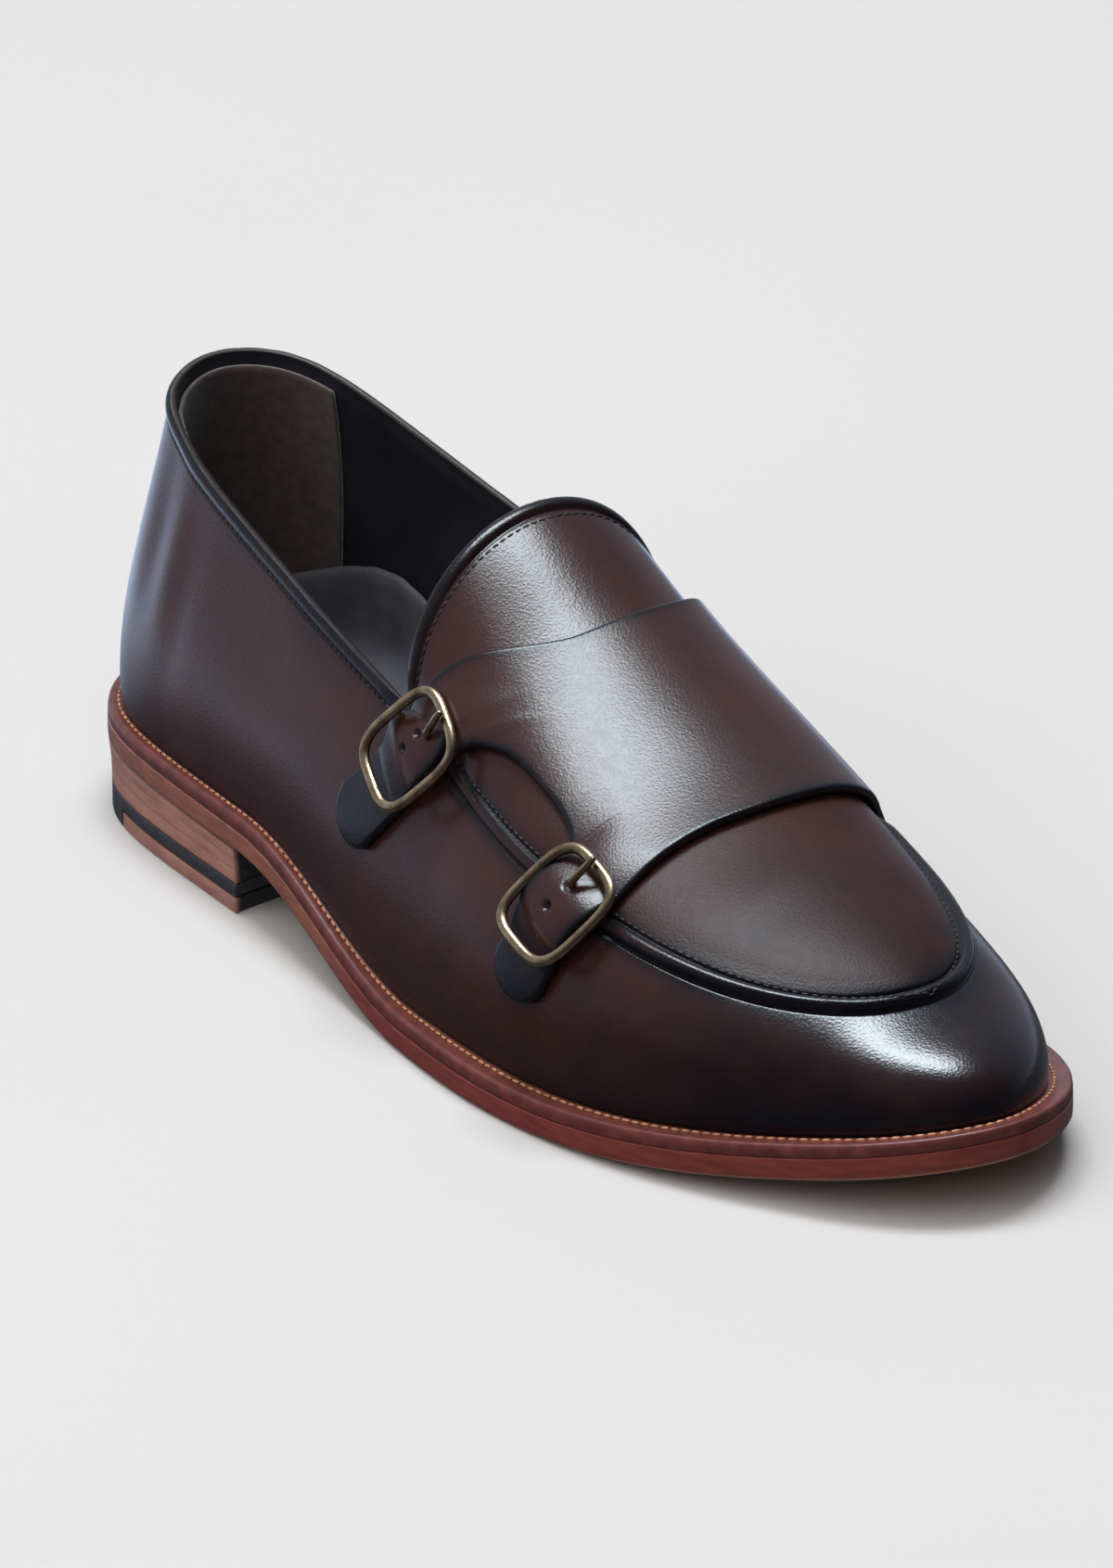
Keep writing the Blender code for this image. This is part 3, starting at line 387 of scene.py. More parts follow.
def burnished_leather(name, brown, dark):
    """Calf with a fine grain, darker where its burnish and painted shade are marked, and matter where "dull" does."""
    leather = Shader(name, brown, 0.3, Sheen_Weight=0.012, Sheen_Roughness=0.3, Sheen_Tint=(0.45, 0.65, 1.0, 1.0))
    clouds, patches = leather.noise(38.0, 4.0), leather.noise(140.0, 3.0)
    tone = leather.sum(leather.range(clouds, 0.3, 0.72, -0.16, 0.22), leather.range(patches, 0.3, 0.7, -0.07, 0.07))
    middle = tuple(0.45 * a + 0.55 * b for a, b in zip(brown, dark))
    shade = leather.sum(leather.number("burnish_and_shade"), tone)
    leather.colour(leather.ramp(shade, [(0.0, brown), (0.5, middle), (1.0, dark)]))
    rubbed = leather.range(leather.noise(420.0, 4.0), 0.3, 0.7, -0.012, 0.018)
    matt = leather.range(leather.number("dull"), 0.0, 1.0, 0.185, 0.40)
    leather.colour(leather.sum(matt, rubbed), "Roughness")
    leather.colour(leather.range(leather.number("dull"), 0.1, 1.0, 0.36, 0.11), "Specular IOR Level")
    pebbles = leather.range(leather.cells(1500.0, "F1"), 0.1, 0.65, 1.0, 0.0)
    leather.bump([(leather.noise(60.0, 2.0), 0.015, 0.0004), (pebbles, 0.17, 0.0001),
                  (leather.noise(1400.0, 2.0), 0.11, 0.0001)])
    return leather.material


LEATHER_DARK = (0.0022, 0.0020, 0.0032)
upper_leather = burnished_leather("upper_leather", (0.0235, 0.0072, 0.0055), LEATHER_DARK)
edge_leather = flecked("cut_edge", 0.45, (900.0, 4.0, (0.007, 0.004, 0.0035), (0.020, 0.011, 0.009)),
                       (1600.0, 3.0, 0.3, 0.0001), Specular_IOR_Level=0.25)
lining = Shader("lining_leather", (0.010, 0.008, 0.011), 0.42)
lining.colour(lining.tones(60.0, 4.0, (0.006, 0.005, 0.007), (0.012, 0.010, 0.013)))
lining.bump([(lining.cells(900.0), 0.15, 0.0001)])

RIDGE_HEIGHT, RIDGE_UNDER_STRAP, RIDGE_BETWEEN_BUCKLES, RIDGE_HALF = 1.7 * MM, 0.4 * MM, 1.0 * MM, 1.6 * MM
ROLL_HEIGHT, ROLL_WIDTH = 0.8 * MM, 3.0 * MM
FINE_ZONE, FINE_LINES = 5.0 * MM, 18      # close lines of points either side of a seam or an edge
COLUMNS_ROUND, WALL_LEVELS, APRON_LEVELS = 320, 44, 60
GROOVE_WIDE = 0.35 * MM

near_corner = np.arange(1, 20) * 0.012
places = np.concatenate([np.arange(COLUMNS_ROUND) * ROUND / COLUMNS_ROUND,
                         CORNER_ROW + near_corner, ROUND - CORNER_ROW - near_corner])
places = np.unique(np.round(places, 5))
columns = len(places)
top = closed_curve(ROWS, places)
reach = 3.0 * np.hypot(top[:, 7], top[:, 8])      # how fast the wall runs where it meets the top
fine_steps = np.linspace(0.0, 1.0, FINE_LINES + 1)
wall_steps = [part * (1.0 - FINE_ZONE / reach) for part in np.linspace(0.0, 1.0, WALL_LEVELS)]
wall_steps += [1.0 - part * FINE_ZONE / reach for part in fine_steps[-2::-1]]
points = [wall_points(places, step) for step in wall_steps]
faces = [grid_faces(len(wall_steps), columns, True)]

inside = (places >= CORNER_ROW - 1e-6) & (places <= TOE_END + 1e-6)
rows = places[inside]
lateral_column = np.flatnonzero(inside)
medial_column = np.array([np.abs(places - (ROUND - row)).argmin() for row in rows])
near, far = (apron_part(rows, start, FINE_ZONE, 0.3) for start in (0.0, 1.0))
apron_steps = [near * part for part in fine_steps[1:]]
apron_steps += [near + (1 - near - far) * part for part in np.linspace(0.0, 1.0, APRON_LEVELS)[1:-1]]
apron_steps += [1 - far * part for part in fine_steps[:0:-1]]
first, strip = len(wall_steps) * columns, len(rows) - 1
points += [apron_points(rows, step)[:-1] for step in apron_steps]
index_at = np.empty((len(rows), len(apron_steps) + 2), dtype=int)
index_at[:, 0] = first - columns + lateral_column
index_at[:, -1] = first - columns + medial_column
index_at[:-1, 1:-1] = first + np.arange(len(apron_steps)) * strip + np.arange(strip)[:, None]
index_at[-1, :] = first - columns + lateral_column[-1]
faces.append(faces_of(index_at))
points, faces = np.vstack(points), np.vstack(faces)
count = len(points)
normal = normals_of(points, faces)
_, outward = sole_edge(places)
normal[:columns] = np.column_stack([outward, np.zeros(columns)])

# The lining lies a wall's thickness inside, skived thinner towards the collar and tongue
edge_line = np.vstack([closed_curve(ROWS[:, 2:5], np.linspace(-CORNER_ROW, CORNER_ROW, 1801)),
                       apron_points(np.full(601, CORNER_ROW), np.linspace(0.0, 1.0, 601))])
edge_far, _ = distance_to(edge_line, points)
skived = 1.0 - 0.42 * np.exp(-(edge_far / (3.0 * MM))**2)
lining_face = points - normal * (UPPER_WALL * skived)[:, None]
lining_face[:columns, 2] = points[:columns, 2]

# The cord under the apron's seam: full in front of the strap, low between the buckles
seam_rows = np.linspace(CORNER_ROW, ROUND - CORNER_ROW, 2401)
seam_line = closed_curve(ROWS[:, 2:5], seam_rows)
strap_front = np.where(seam_rows < ROUND / 2, 10.55, 10.1)
past_strap = smooth_step((np.minimum(seam_rows, ROUND - seam_rows) - strap_front) / 0.3)
seam_height = blend(RIDGE_UNDER_STRAP, RIDGE_HEIGHT, past_strap)
between_buckles = smooth_step((seam_rows - 8.3) / 0.2) * smooth_step((9.75 - seam_rows) / 0.2)
seam_height = np.maximum(seam_height, RIDGE_BETWEEN_BUCKLES * between_buckles)
seam_far, seam_at = distance_to(seam_line, points)
height_above_welt = points[:, 2] - (sole_bottom(points[:, 0]) + OUTSOLE + WELT)

relief = np.maximum(seam_height[seam_at] * half_round(seam_far, RIDGE_HALF),
                    ROLL_HEIGHT * half_round(edge_far - ROLL_WIDTH / 2, ROLL_WIDTH / 2))
# Under the strap's rear end, where the collar meets the tongue, the roll is skived flat
corner_far = np.linalg.norm(points - apron_points(np.array([CORNER_ROW]), 0.0)[0], axis=1)
relief *= smooth_step((corner_far - 4.5 * MM) / (4 * MM))
# A groove beside the cord and one beside the roll, each with its place and depth
for distance, place, depth in ((seam_far, 1.85 * MM, 0.42 * MM), (edge_far, 3.35 * MM, 0.28 * MM)):
    relief -= depth * np.exp(-((distance - place) / GROOVE_WIDE)**2)

# Soft hollows: x y z of the middle, then half sizes, then depth, in millimetres
HOLLOWS = [
    # x      y     z    half_x half_y half_z depth
    (-118, -24, 66,  5, 20, 18, 0.70),
    (-108, -27, 62,  4, 20, 16, -0.45),
    (-100, -30, 52,  4, 20, 14, 0.40),
    ( -60, -34, 52, 16, 20,  9, 0.35),
    ( -20, -38, 45, 12, 20, 10, 0.25),
    (  84, -44, 24, 10, 20,  7, 0.25),
    ( -96,  30, 58, 12, 20, 14, 0.35),
    ( -48,  31, 48, 16, 20, 10, 0.45),
    (   6,  36, 36, 16, 20,  9, -0.25),
    (  74,   4, 55,  6, 26, 20, 0.25),
    (  86,   6, 52,  5, 28, 20, -0.20),
]
for hollow in np.array(HOLLOWS) * MM:
    away = (((points - hollow[:3]) / hollow[3:6])**2).sum(axis=1)
    relief -= hollow[6] * np.exp(-away) * (height_above_welt > 1 * MM)
outer_face = points + normal * relief[:, None]

toe_dark = smooth_step((points[:, 0] - 55 * MM) / (75 * MM))
on_apron = np.arange(count) >= first
# Painted shade: darkest in the grooves either side of the apron's cord, over the darker burnish round the seam
burnish_and_shade = 0.10 + 0.80 * np.exp(-(np.maximum(np.abs(seam_far - 1.8 * MM) - 0.3 * MM, 0) / (1.7 * MM))**1.3)
burnish_and_shade += 0.80 * np.exp(-np.maximum(edge_far - 2.2 * MM, 0) / (2.0 * MM))
# Darker towards the welt
burnish_and_shade += 0.55 * np.exp(-np.maximum(height_above_welt, 0) / (6 * MM))
burnish_and_shade += toe_dark * np.where(on_apron, 0.30, 0.58)
burnish_and_shade += 0.30 * smooth_step((-0.118 - points[:, 0]) / 0.03)
burnish_and_shade = np.clip(burnish_and_shade, 0, 1)
dull = np.where(on_apron, 0.36, 0.46 - 0.32 * toe_dark)
dull += 0.64 * smooth_step((points[:, 0] - 30 * MM) / (25 * MM)) * on_apron * np.clip(seam_far / (6 * MM), 0, 1)

rim = rim_faces(faces, count)
kinds = [0] * len(faces) + [2] * len(faces) + [1] * len(rim)
upper = add_piece("upper_leather", np.vstack([outer_face, lining_face]), two_sided(faces, count) + rim,
                  [upper_leather, edge_leather.material, lining.material], kinds,
                  {"burnish_and_shade": np.concatenate([burnish_and_shade, np.ones(count)]), "dull": np.tile(dull, 2)})
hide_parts("upper")
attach(upper, "root")

# ------------------------------------------------------- stitching of the upper
# Fine dark thread, about five stitches to the centimetre.  One row holds the roll along the
# collar and the tongue, and one runs beside the cord round the apron.

def stitch_tree():
    """Geometry Nodes that set one stitch after another along a path."""
    tree = bpy.data.node_groups.new("stitches_along_path", "GeometryNodeTree")
    sockets = tree.interface
    sockets.new_socket("Geometry", in_out="INPUT", socket_type="NodeSocketGeometry")
    for name in ("Pitch", "Length", "Width", "Height"):
        sockets.new_socket(name, in_out="INPUT", socket_type="NodeSocketFloat")
    sockets.new_socket("Thread", in_out="INPUT", socket_type="NodeSocketMaterial")
    sockets.new_socket("Geometry", in_out="OUTPUT", socket_type="NodeSocketGeometry")
    given = tree.nodes.new("NodeGroupInput").outputs
    path = add_node(tree, "GeometryNodeMeshToCurve", {"Mesh": given["Geometry"]})["Curve"]
    inputs = {"Curve": path, "Length": given["Pitch"]}
    path = add_node(tree, "GeometryNodeResampleCurve", inputs, mode="LENGTH")["Curve"]
    tangent = add_node(tree, "GeometryNodeInputTangent")["Tangent"]
    named = add_node(tree, "GeometryNodeInputNamedAttribute", {"Name": "outward"}, data_type="FLOAT_VECTOR")
    turn = add_node(tree, "FunctionNodeAlignRotationToVector", {"Vector": tangent}, axis="X")["Rotation"]
    inputs = {"Rotation": turn, "Vector": named["Attribute"]}
    turn = add_node(tree, "FunctionNodeAlignRotationToVector", inputs, axis="Z", pivot_axis="X")["Rotation"]
    vary = add_node(tree, "FunctionNodeRandomValue", {2: 0.92, 3: 1.08, "Seed": 7}, data_type="FLOAT")[1]
    length = add_node(tree, "ShaderNodeMath", {0: given["Length"], 1: vary}, operation="MULTIPLY")[0]
    size = add_node(tree, "ShaderNodeCombineXYZ", {"X": length, "Y": given["Width"], "Z": given["Height"]})["Vector"]
    stitch = add_node(tree, "GeometryNodeMeshUVSphere", {"Segments": 8, "Rings": 6, "Radius": 0.5})["Mesh"]
    inputs = {"Points": path, "Instance": stitch, "Rotation": turn, "Scale": size}
    made = add_node(tree, "GeometryNodeInstanceOnPoints", inputs)["Instances"]
    made = add_node(tree, "GeometryNodeRealizeInstances", {"Geometry": made})["Geometry"]
    made = add_node(tree, "GeometryNodeSetShadeSmooth", {"Geometry": made})["Geometry"]
    made = add_node(tree, "GeometryNodeSetMaterial", {"Geometry": made, "Material": given["Thread"]})["Geometry"]
    add_node(tree, "NodeGroupOutput", {"Geometry": made})
    return tree


STITCHES = stitch_tree()


def stitch_run(name, path, outward, thread, pitch, length, width, height):
    """Stitches along a path of points that know which way is out; a plain mesh."""
    mesh = bpy.data.meshes.new(name)
    mesh.from_pydata([tuple(point) for point in path], [(i, i + 1) for i in range(len(path) - 1)], [])
    layer = mesh.attributes.new("outward", "FLOAT_VECTOR", "POINT")
    layer.data.foreach_set("vector", np.asarray(outward, dtype=np.float32).ravel())
    run = bpy.data.objects.new(name, mesh)
    bpy.context.scene.collection.objects.link(run)
    modifier = run.modifiers.new("stitches", "NODES")
    modifier.node_group = STITCHES
    values = {"Pitch": pitch, "Length": length, "Width": width, "Height": height, "Thread": thread}
    for item in STITCHES.interface.items_tree:
        if item.in_out == "INPUT" and item.name in values:
            modifier[item.identifier] = values[item.name]
    made = bpy.data.meshes.new_from_object(run.evaluated_get(bpy.context.evaluated_depsgraph_get()))
    run.modifiers.remove(modifier)
    run.data = made
    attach(run, "root")


def on_upper(line, lift):
    """Points of a line moved out to the finished face of the upper, with its normals."""
    _, found = distance_to(points, line)
    height = np.maximum(relief[found], 0) + lift
    smooth_height = np.convolve(np.pad(height, 4, mode="edge"), np.ones(9) / 9, mode="valid")
    out = normal[found]
    return line + out * smooth_height[:, None], out


dark_thread = flecked("dark_thread", 0.5, (700.0, 3.0, (0.006, 0.004, 0.004), (0.016, 0.010, 0.009)),
                      (3500.0, 2.0, 0.3, 0.00008), Specular_IOR_Level=0.3)
ROLL_STITCH = (2.1 * MM, 1.7 * MM, 0.55 * MM, 0.40 * MM)        # pitch, length, width, height
SEAM_STITCH = (2.0 * MM, 1.6 * MM, 0.50 * MM, 0.38 * MM)
COLLAR_INSET, CORD_INSET = 3.3 * MM, 2.5 * MM

# Round the collar and the tongue, just under the roll
sweep = np.concatenate([np.linspace(ROUND - CORNER_ROW, ROUND - 1e-4, 500), np.linspace(0, CORNER_ROW, 500)])
below = wall_points(sweep, 1 - SHORT) - closed_curve(ROWS[:, 2:5], sweep)
down = 1.0 - SHORT * COLLAR_INSET / np.linalg.norm(below, axis=1)
line, out = on_upper(wall_points(sweep, down), 0.05 * MM)
stitch_run("collar_stitches", line, out, dark_thread.material, *ROLL_STITCH)
line, out = on_upper(apron_points(np.full(400, CORNER_ROW + 0.15), np.linspace(0.015, 0.985, 400)), 0.05 * MM)
stitch_run("tongue_stitches", line, out, dark_thread.material, *ROLL_STITCH)

# Beside the cord round the apron, on the apron's side
seam = np.linspace(CORNER_ROW + 0.15, TOE_END - 0.02, 900)
runs = [apron_points(seam, abs(start - apron_part(seam, start, CORD_INSET, 0.42)))[:-12] for start in (0.0, 1.0)]
line, out = on_upper(np.vstack([runs[0], runs[1][::-1]]), 0.04 * MM)
stitch_run("apron_stitches", line, out, dark_thread.material, *SEAM_STITCH)

# ------------------------------------------------------- heel grip
# A piece of dark brown suede glued inside the back of the heel so the foot doesn't slip,
# with its cut edges left raw.

suede = flecked("heel_grip_suede", 0.9, (420.0, 5.0, (0.024, 0.015, 0.012), (0.042, 0.027, 0.022)),
                (2400.0, 3.0, 0.5, 0.00025), Sheen_Weight=0.3, Sheen_Roughness=0.4)
GRIP_THICK, GRIP_GAP = 0.7 * MM, 0.25 * MM
grip_rows = np.linspace(-2.95, 2.95, 121)
grip = []
for step in np.linspace(0.12, 0.965, 40):
    behind = wall_points(grip_rows - 0.05, step) - wall_points(grip_rows + 0.05, step)
    above = wall_points(grip_rows, step + 0.01) - wall_points(grip_rows, step - 0.01)
    grip.append(wall_points(grip_rows, step) + unit(np.cross(behind, above)) * (UPPER_WALL + GRIP_GAP))
grip, grip_faces = np.vstack(grip), grid_faces(40, 121)
grip_all = np.vstack([grip, grip - normals_of(grip, grip_faces) * GRIP_THICK])
closed = two_sided(grip_faces, len(grip)) + rim_faces(grip_faces, len(grip))
heel_grip = add_piece("heel_grip", grip_all, closed, [suede.material])
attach(heel_grip, "root")

# ---------------------------------------------------------------- strap
# One piece of the same calf, cut wide over the instep and sewn to the medial side, then
# split into two ends that each pass under a buckle on the lateral side.  Its cut edges are
# painted and rounded.

STRAP_STATIONS = [
    # rear_row rear_across front_row front_across bow
    (6.97, 2.34,  9.87, 2.54, 0.13),
    (6.84, 2.26, 10.04, 2.47, 0.12),
    (7.00, 2.13, 10.06, 2.31, 0.08),
    (7.28, 2.02, 10.06, 2.13, 0.05),
    (7.51, 1.93, 10.12, 1.98, 0.02),
    (7.82, 1.82, 10.26, 1.86, 0.0),
    (8.05, 1.71, 10.36, 1.74, 0.0),
    (8.15, 1.60, 10.43, 1.62, 0.0),
    (8.18, 1.49, 10.45, 1.50, 0.0),
    (8.12, 1.38, 10.43, 1.39, 0.0),
    (7.98, 1.28, 10.42, 1.29, 0.0),
    (7.74, 1.15, 10.45, 1.14, 0.0),
]
# The two ends: where each starts, its tip, and its buckle's place, turn, tilt and lift
BRANCHES = {
    # name     top_row top_across tip_row tip_across buckle_row buckle_across turn tilt lift
    "rear":  ( 7.58, 1.060, 6.95, 0.43,  7.56, 0.945, 6.0, 10.0, 0.0070),
    "front": (10.17, 1.115, 9.79, 0.43, 10.09, 0.925, 0.0,  8.0, 0.0048),
}
# Cut-out between the two ends: places along its arch, rear to front
ARCH = [(8.06, 1.022), (8.24, 1.105), (8.58, 1.165), (9.00, 1.180), (9.42, 1.172), (9.70, 1.140), (9.80, 1.085)]
STRAP_THICK, STRAP_LIFT, STRAP_DIP, STRAP_HUMP = 1.8 * MM, 0.8 * MM, 0.8 * MM, 4.2 * MM
BRANCH_WIDTH, TIP_ROUND = 16.2 * MM, 6.2 * MM
BUCKLE_LENGTH, BUCKLE_WIDTH, BUCKLE_BAR = 24.8 * MM, 22.2 * MM, 2.1 * MM
CENTRE_BAR, CENTRE_BAR_LIFT, PRONG, PRONG_START = 1.6 * MM, 2.4 * MM, 1.7 * MM, 4.6 * MM
EDGE_ROUND = 0.75 * MM
STRAP_BEND = 9.0                # how fast each end curves down to its sides, per metre


def normals_at(rows, across):
    """Outward normals of the bare upper, with the two directions along its surface."""
    step = 0.01
    along = upper_points(rows + step, across) - upper_points(rows - step, across)
    over = upper_points(rows, across + step) - upper_points(rows, across - step)
    return unit(np.cross(along, over)), along / (2 * step), over / (2 * step)


def sideways_places(rows, across, offset):
    """Places on the upper at distances to the side of a line of places, a row for each place."""
    out, along, over = normals_at(rows, across)
    side = unit(np.cross(out, np.gradient(upper_points(rows, across), axis=0)))
    moved = np.array([np.linalg.lstsq(np.column_stack([a, o]), s, rcond=None)[0]
                      for a, o, s in zip(along, over, side)])
    return rows[:, None] + moved[:, :1] * offset, across[:, None] + moved[:, 1:] * offset


def branch_line(name, part):
    """Places down the middle of one end of the strap and their distances from the buckle."""
    top_row, top_across, tip_row, tip_across, _, buckle_across = BRANCHES[name][:6]
    dense = np.linspace(0.0, 1.0, 400)
    middle = upper_points(blend(top_row, tip_row, dense), blend(top_across, tip_across, dense))
    length = np.concatenate([[0], np.cumsum(np.linalg.norm(np.diff(middle, axis=0), axis=1))])
    at_buckle = np.interp((top_across - buckle_across) / (top_across - tip_across), dense, length)
    part = np.interp(part * length[-1], length, dense)
    rows, across = blend(top_row, tip_row, part), blend(top_across, tip_across, part)
    return rows, across, np.interp(part, dense, length) - at_buckle


def strap_height(distance):
    """Underside of the strap above the upper, along one end through its buckle."""
    reach = BUCKLE_LENGTH / 2 - BUCKLE_BAR / 2
    hump = blend(STRAP_DIP, STRAP_HUMP, np.cos(np.clip(np.abs(distance) / reach, 0, 1) * np.pi / 2)**1.6)
    before = blend(STRAP_DIP, STRAP_LIFT, smooth_step((-reach - distance) / 0.004))
    return np.where(distance < -reach, before, hump)


def spread(points, faces, passes):
    """Average each point's values with its neighbours', several times over."""
    pairs = np.vstack([faces[:, [0, 1]], faces[:, [1, 2]], faces[:, [2, 3]], faces[:, [3, 0]]])
    pairs = np.vstack([pairs, pairs[:, ::-1]])
    weight = np.bincount(pairs[:, 0], minlength=len(points)).astype(float)[:, None]
    for _ in range(passes):
        near = np.column_stack([np.bincount(pairs[:, 0], axis[pairs[:, 1]], len(points)) for axis in points.T])
        points = 0.5 * points + 0.5 * near / weight
    return points


def faired(at, values, degree, wanted):
    """Values along a line, evened out by a polynomial."""
    return np.polyval(np.polyfit(at, values, degree), wanted[:, None])


# Fractions across each end and across the gap between them, closer together by the edges
end_steps = np.concatenate([[0, .008, .02, .04, .07, .11, .16], np.linspace(.22, .78, 17),
                            [.84, .89, .93, .96, .98, .992, 1]])
gap_steps = np.linspace(0, 1, 61)
ends, sides = len(end_steps), end_steps * 2 - 1
REAR_ZONE, FRONT_ZONE = 2 / 12, 9 / 12
u = np.concatenate([end_steps * REAR_ZONE, REAR_ZONE + gap_steps[1:-1] * (FRONT_ZONE - REAR_ZONE),
                    FRONT_ZONE + end_steps * (1 - FRONT_ZONE)])
width = len(u)
stations = np.array(STRAP_STATIONS)
last_station = len(stations) - 1
by_edge = np.array([0, .01, .025, .05, .08, .12])
t = np.concatenate([by_edge, np.linspace(.2, last_station - .2, 150), last_station - by_edge[::-1]])
rear_row, rear_across, front_row, front_across, bow = (
    column[:, None] for column in open_curve(np.arange(len(stations)), stations, t).T)
panel_rows = blend(rear_row, front_row, u)
panel_across = blend(rear_across, front_across, u) + bow * 4 * u * (1 - u)

# The wide part finishes along the tops of the two ends and the arch of the cut-out
arch = np.array(ARCH)
arch_at = np.concatenate([[0], np.cumsum(np.hypot(*(np.diff(arch, axis=0) * (1.0, 4.0)).T))])
tops = {}
for name in BRANCHES:
    rows, across, _ = branch_line(name, np.linspace(0, 1, 60))
    beside = sideways_places(rows, across, BRANCH_WIDTH / 2 * sides)
    tops[name] = np.column_stack([values[0] for values in beside])
finish = np.vstack([tops["rear"], open_curve(arch_at / arch_at[-1], arch, gap_steps[1:-1]), tops["front"]])
pull = smooth_step((t - (last_station - 2.5)) / 2.5)[:, None]
panel_rows = panel_rows + pull * (finish[:, 0] - panel_rows[-1])
panel_across = panel_across + pull * (finish[:, 1] - panel_across[-1])
base = panel_rows.size
numbers = np.arange(base).reshape(len(t), width)
strap_faces = [faces_of(numbers)]
places = [np.column_stack([panel_rows.ravel(), panel_across.ravel(), np.full(base, STRAP_LIFT), np.full(base, -1.0)])]

# Drawn tight by its buckle, each end bridges the dip where the collar meets the tongue
ribbons = []
for name, start in (("rear", 0), ("front", width - ends)):
    _, _, reach = branch_line(name, np.array([0.0, 1.0]))
    rounding = TIP_ROUND / (reach[1] - reach[0])
    part = np.concatenate([np.linspace(0, 1 - rounding, 90),
                           1 - rounding * (1 - np.sin(np.linspace(0, np.pi / 2, 26)[1:]))])
    half = BRANCH_WIDTH / 2 * np.sqrt(1 - np.clip(1 - (1 - part) / rounding, 0, 0.997)**2)
    rows, across, distance = branch_line(name, part)
    all_rows, all_across, at = branch_line(name, np.linspace(0, 1, 200))
    middle = faired(at, upper_points(all_rows, all_across), 5, distance)
    out = unit(faired(at, normals_at(all_rows, all_across)[0], 2, distance))
    side = unit(np.cross(out, np.gradient(middle, axis=0)))[:, None]
    offset, out = (half[:, None] * sides)[:, :, None], out[:, None]
    bent = middle[:, None] + side * offset - out * offset**2 * STRAP_BEND
    ribbons.append((start, base, bent, out + side * offset * 2 * STRAP_BEND))
    beside = [values[1:].ravel() for values in sideways_places(rows, across, half[:, None] * sides)]
    same_across = [np.repeat(values[1:], ends) for values in (strap_height(distance), distance)]
    places.append(np.column_stack(beside + same_across))
    own = base + np.arange(len(beside[0])).reshape(-1, ends)
    strap_faces.append(faces_of(np.vstack([numbers[-1, start:start + ends], own])))
    base += own.size
strap_rows, strap_across, strap_lifts, from_buckle = np.vstack(places).T
strap_faces = np.vstack(strap_faces)
strap_bare = upper_points(strap_rows, strap_across)
strap_normal = spread(normals_at(strap_rows, strap_across)[0], strap_faces, 40)
easing = smooth_step((t - (last_station - 1.2)) / 1.2)[:, None, None]
for start, first, bent, leaning in ribbons:
    columns = np.arange(start, start + ends)
    at_columns = np.concatenate([[start - 16], columns, [start + ends + 15]])
    for values, wanted in ((strap_bare, bent), (strap_normal, leaning)):
        change = np.pad(wanted[0] - values[numbers[-1, columns]], ((1, 1), (0, 0)))
        change = np.column_stack([np.interp(np.arange(width), at_columns, axis) for axis in change.T])
        values[:numbers.size] += (easing * change).reshape(-1, 3)
        values[first:first + wanted[1:].size // 3] = wanted[1:].reshape(-1, 3)
strap_bare, strap_normal = spread(strap_bare, strap_faces, 3), unit(spread(strap_normal, strap_faces, 3))
rim = rim_faces(strap_faces, len(strap_bare))
rim_start, rim_end = strap_bare[[face[0] for face in rim]], strap_bare[[face[1] for face in rim]]
cut_line = np.vstack([rim_start * (1 - part) + rim_end * part for part in (0.0, 0.25, 0.5, 0.75)])
from_edge, _ = distance_to(cut_line, strap_bare)
inside_round = np.clip(EDGE_ROUND - from_edge, 0, EDGE_ROUND)
drop = EDGE_ROUND - np.sqrt(EDGE_ROUND**2 - inside_round**2)
under = strap_bare + strap_normal * strap_lifts[:, None]
over = under + strap_normal * (STRAP_THICK - np.minimum(drop, 0.65 * MM))[:, None]

# Punched holes: where the prong goes in, and a spare one nearer the middle of each buckle
HOLE_DEPTH, HOLE_RADIUS, SPARE_HOLE = 0.9 * MM, 0.95 * MM, 0.6 * MM
holes = []
for name in BRANCHES:
    rows, across, distance = branch_line(name, np.linspace(0, 1, 400))
    nearest = [np.abs(distance - place).argmin() for place in (-PRONG_START, SPARE_HOLE)]
    holes.append(upper_points(rows[nearest], across[nearest]))
hole_far = np.linalg.norm(strap_bare[:, None] - np.vstack(holes), axis=2).min(axis=1)
hole = np.exp(-(hole_far / HOLE_RADIUS)**4)
over -= strap_normal * (HOLE_DEPTH * hole)[:, None]

# The cut edges are darker, and the punched holes are filled dark as painted shade
edges_and_hole_shade = np.clip(np.exp(-np.maximum(from_edge - 0.9 * MM, 0) / (1.1 * MM)) + hole, 0, 1)
past_buckle = smooth_step((from_buckle - 3 * MM) / (10 * MM))
front_side = smooth_step((strap_rows - 9.2) / 1.4)
strap_burnish_and_shade = np.clip(0.10 + 0.85 * edges_and_hole_shade + 0.10 * front_side + 0.75 * past_buckle, 0, 1)
strap_leather = burnished_leather("strap_leather", (0.0245, 0.0080, 0.0064), LEATHER_DARK)
painted_edge = Shader("painted_edge", (0.010, 0.008, 0.009), 0.35)
painted_edge.bump([(painted_edge.noise(500.0, 3.0), 0.2, 0.0002)])
count = len(strap_bare)
kinds = [0] * len(strap_faces) + [1] * (len(strap_faces) + len(rim))
strap = add_piece("strap", np.vstack([over, under]), two_sided(strap_faces, count) + rim,
                  [strap_leather, painted_edge.material], kinds,
                  {"burnish_and_shade": np.concatenate([strap_burnish_and_shade, np.ones(count)]), "dull": np.full(2 * count, 0.42)})
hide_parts("strap")
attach(strap, "root")

